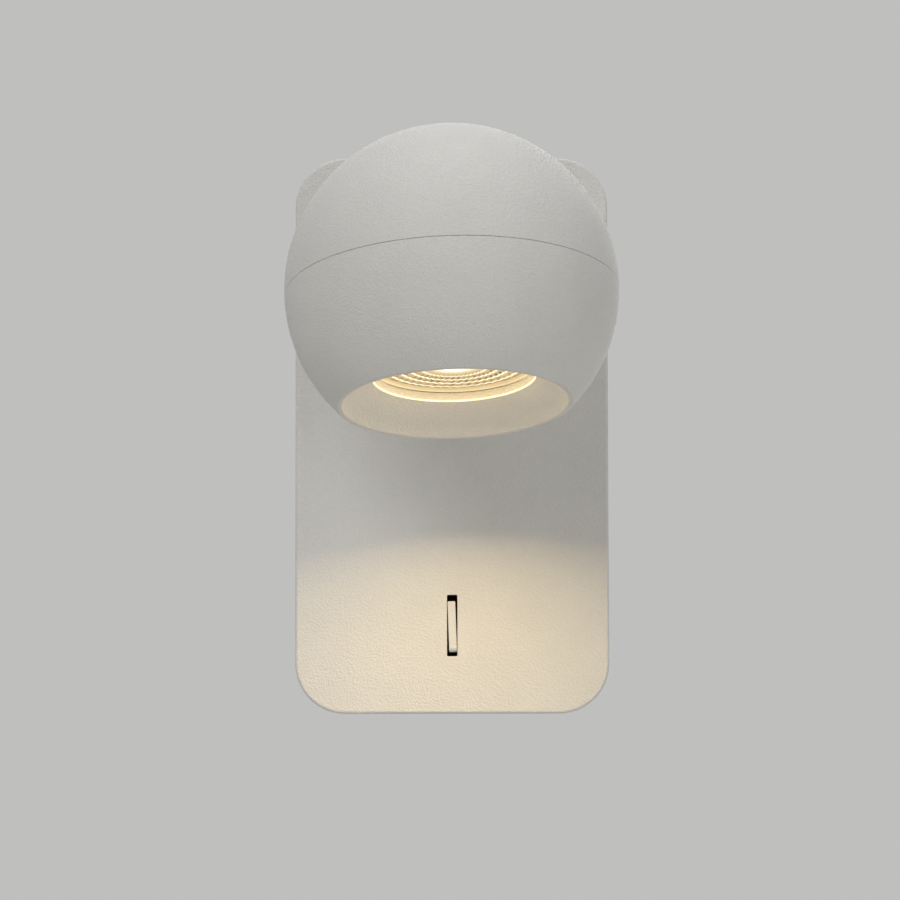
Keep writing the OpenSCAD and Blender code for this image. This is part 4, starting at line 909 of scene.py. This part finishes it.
# Switch.
def switch_lever():
    """Side outline with eased corners, carried across the lever's thickness and drawn in at both faces."""
    floor = LEVER_REACH - LEVER_BODY
    tail = LEVER_TAIL_HALF
    corners = ((-LEVER_DOWN, floor), (-LEVER_DOWN, LEVER_REACH), (LEVER_UP, LEVER_REACH), (LEVER_UP, floor),
               (tail, floor), (tail, LEVER_TAIL_END), (-tail, LEVER_TAIL_END), (-tail, floor))
    rounds = (LEVER_CORNER, LEVER_ROUND_LOW, LEVER_ROUND_TOP, LEVER_CORNER, LEVER_CORNER, LEVER_ROUND_TAIL,
              LEVER_ROUND_TAIL, LEVER_CORNER)
    outline = eased_loop(corners, rounds, 10)
    along = np.roll(outline, -1, axis=0) - np.roll(outline, 1, axis=0)
    inward = np.column_stack([along[:, 1], -along[:, 0]]) / np.linalg.norm(along, axis=1, keepdims=True)
    quarter = np.linspace(0, math.pi / 2, 6)
    rise, fall = LEVER_EDGE * (1 - np.cos(quarter)), LEVER_EDGE * (1 - np.sin(quarter))
    half = LEVER_T / 2
    across = np.concatenate([rise - half, half - fall])
    rings = outline[None] + np.concatenate([fall, rise])[:, None, None] * inward[None]
    x = np.broadcast_to(across[:, None, None], rings.shape[:2] + (1,))
    piece = new_object("rocker", [loft(np.concatenate([x, rings], -1))], LEVER)
    cut(piece, [rod(LEVER_PIN_R, -half - CUT_PAST, half + CUT_PAST, 48)], turned(LEVER, 1, 90))
    finish_piece(piece, "lever", "white_paint", "switch_lever")


# Leads.
def leads():
    """Smooth round leads in place of the source's eight-sided ones. round_lead runs from 1, on one side of a
    lead, to 0 on the other, for the earth lead's stripe."""
    runs = (("live_core", "brown_insulation", "live_lead", LIVE),
            ("switched_core", "brown_insulation", "switched_lead", SWITCHED),
            ("neutral_core", "blue_insulation", "neutral_lead", NEUTRAL),
            ("earth_core", "green_insulation", "earth_lead", EARTH))
    for name, slot, node, route in runs:
        piece = new_object(name, [lead(route)], WALL)
        point = np.arange(len(piece.data.vertices))
        mark(piece, "round_lead", np.abs(point % LEAD_SIDES / (LEAD_SIDES / 2) - 1))
        finish_piece(piece, "base", slot, node)
    pair = [lead(np.array(HOLDER) * (side, 1, 1)) for side in (1, -1)]
    finish_piece(new_object("holder_cores", pair, HEAD), "head", "white_insulation", "holder_leads")


# Studio: a pale floor well below, soft lamps, the spot's own warm light and a pale surround.
def look_matrix(place, back, roll=0.0):
    """World matrix of a lamp or camera at a place, its back axis along a vector, upright but for the roll."""
    back = np.array(back, float) / np.linalg.norm(back)
    right = np.cross((0, 0, 1), back)
    right /= np.linalg.norm(right)
    up = np.cross(back, right)
    c, s = math.cos(math.radians(roll)), math.sin(math.radians(roll))
    rows = np.eye(4)
    rows[:3, :3] = np.column_stack([c * right + s * up, c * up - s * right, back])
    rows[:3, 3] = place
    return Matrix(rows.tolist())


def area_lamp(name, place, back, size, power):
    """An area lamp at a place whose back points along a vector."""
    light = bpy.data.lights.new(name, "AREA")
    light.size = size
    light.energy = power
    lamp = bpy.data.objects.new(name, light)
    lamp.matrix_world = look_matrix(place, back)
    bpy.context.scene.collection.objects.link(lamp)
    return lamp


def lamps():
    """Soft square lamps round the part, and round ones just in front of the lens that ride on the head and
    that the camera doesn't see."""
    for name, place, size, power in STUDIO_LAMPS:
        area_lamp(name, place, np.subtract(place, STUDIO_AIM), size, power)
    spot_place = (HEAD @ np.array([0, 0, LENS_FRONT - SPOT_AHEAD, 1]))[:3]
    for name, size, power, spread, colour in SPOT_LIGHTS:
        lamp = area_lamp(name, spot_place, head_z, size * MM, power)
        lamp.data.shape = "DISK"
        lamp.data.spread = spread
        lamp.data.color = colour
        lamp.visible_camera = False
        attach(lamp, "head")


def pale_floor():
    """A flat disc that fades into the surround away from the part."""
    angle = np.linspace(0, 2 * math.pi, FLOOR_SIDES, endpoint=False)
    rim = np.column_stack([FLOOR_R * np.cos(angle), FLOOR_R * np.sin(angle), 0 * angle + FLOOR_Z])
    mesh = bpy.data.meshes.new("floor")
    mesh.from_pydata(rim.tolist(), [], [list(range(FLOOR_SIDES))])
    floor = bpy.data.objects.new("floor", mesh)
    bpy.context.scene.collection.objects.link(floor)
    paint = Finish("pale_floor", Base_Color=(0.6, 0.6, 0.59, 1), Roughness=0.7)
    away = paint.vector("LENGTH", paint.node("ShaderNodeTexCoord", output="Object"), "Value")
    lit = Wire(paint, paint.shader.outputs[0])
    surround = paint.node("ShaderNodeEmission", {}, {"Color": BACKGROUND})
    paint.end("Material Output", paint.seen_directly() * away.ramp(*FLOOR_FADE), lit, surround)
    mesh.materials.append(paint.material)


def pale_surround():
    """Even ambient light, and a plain pale background for what is seen directly."""
    world = bpy.data.worlds.new("surround")
    bpy.context.scene.world = world
    world.use_nodes = True
    sky = Nodes(world.node_tree)
    ambient = sky.node("ShaderNodeBackground", {}, {"Color": (1, 1, 1, 1), "Strength": AMBIENT})
    shown = sky.node("ShaderNodeBackground", {}, {"Color": BACKGROUND})
    sky.end("World Output", sky.seen_directly(), ambient, shown)


def photo_camera():
    """The camera at the photograph's viewing angle, a little below the part and looking slightly up."""
    data = bpy.data.cameras.new("camera")
    data.lens = CAMERA_LENS
    data.sensor_width = CAMERA_SENSOR
    data.clip_start = CAMERA_NEAR
    camera = bpy.data.objects.new("camera", data)
    pitch = math.radians(CAMERA_PITCH)
    camera.matrix_world = look_matrix(CAMERA_PLACE, (0, -math.cos(pitch), -math.sin(pitch)), CAMERA_ROLL)
    bpy.context.scene.collection.objects.link(camera)
    bpy.context.scene.camera = camera


wall_cover()
front_shell()
rear_shell()
lamp_body()
lamp_lens()
stem()
stem_bush()
switch_lever()
leads()
lamps()
pale_floor()
pale_surround()
photo_camera()
bpy.context.scene.view_settings.view_transform = "Standard"
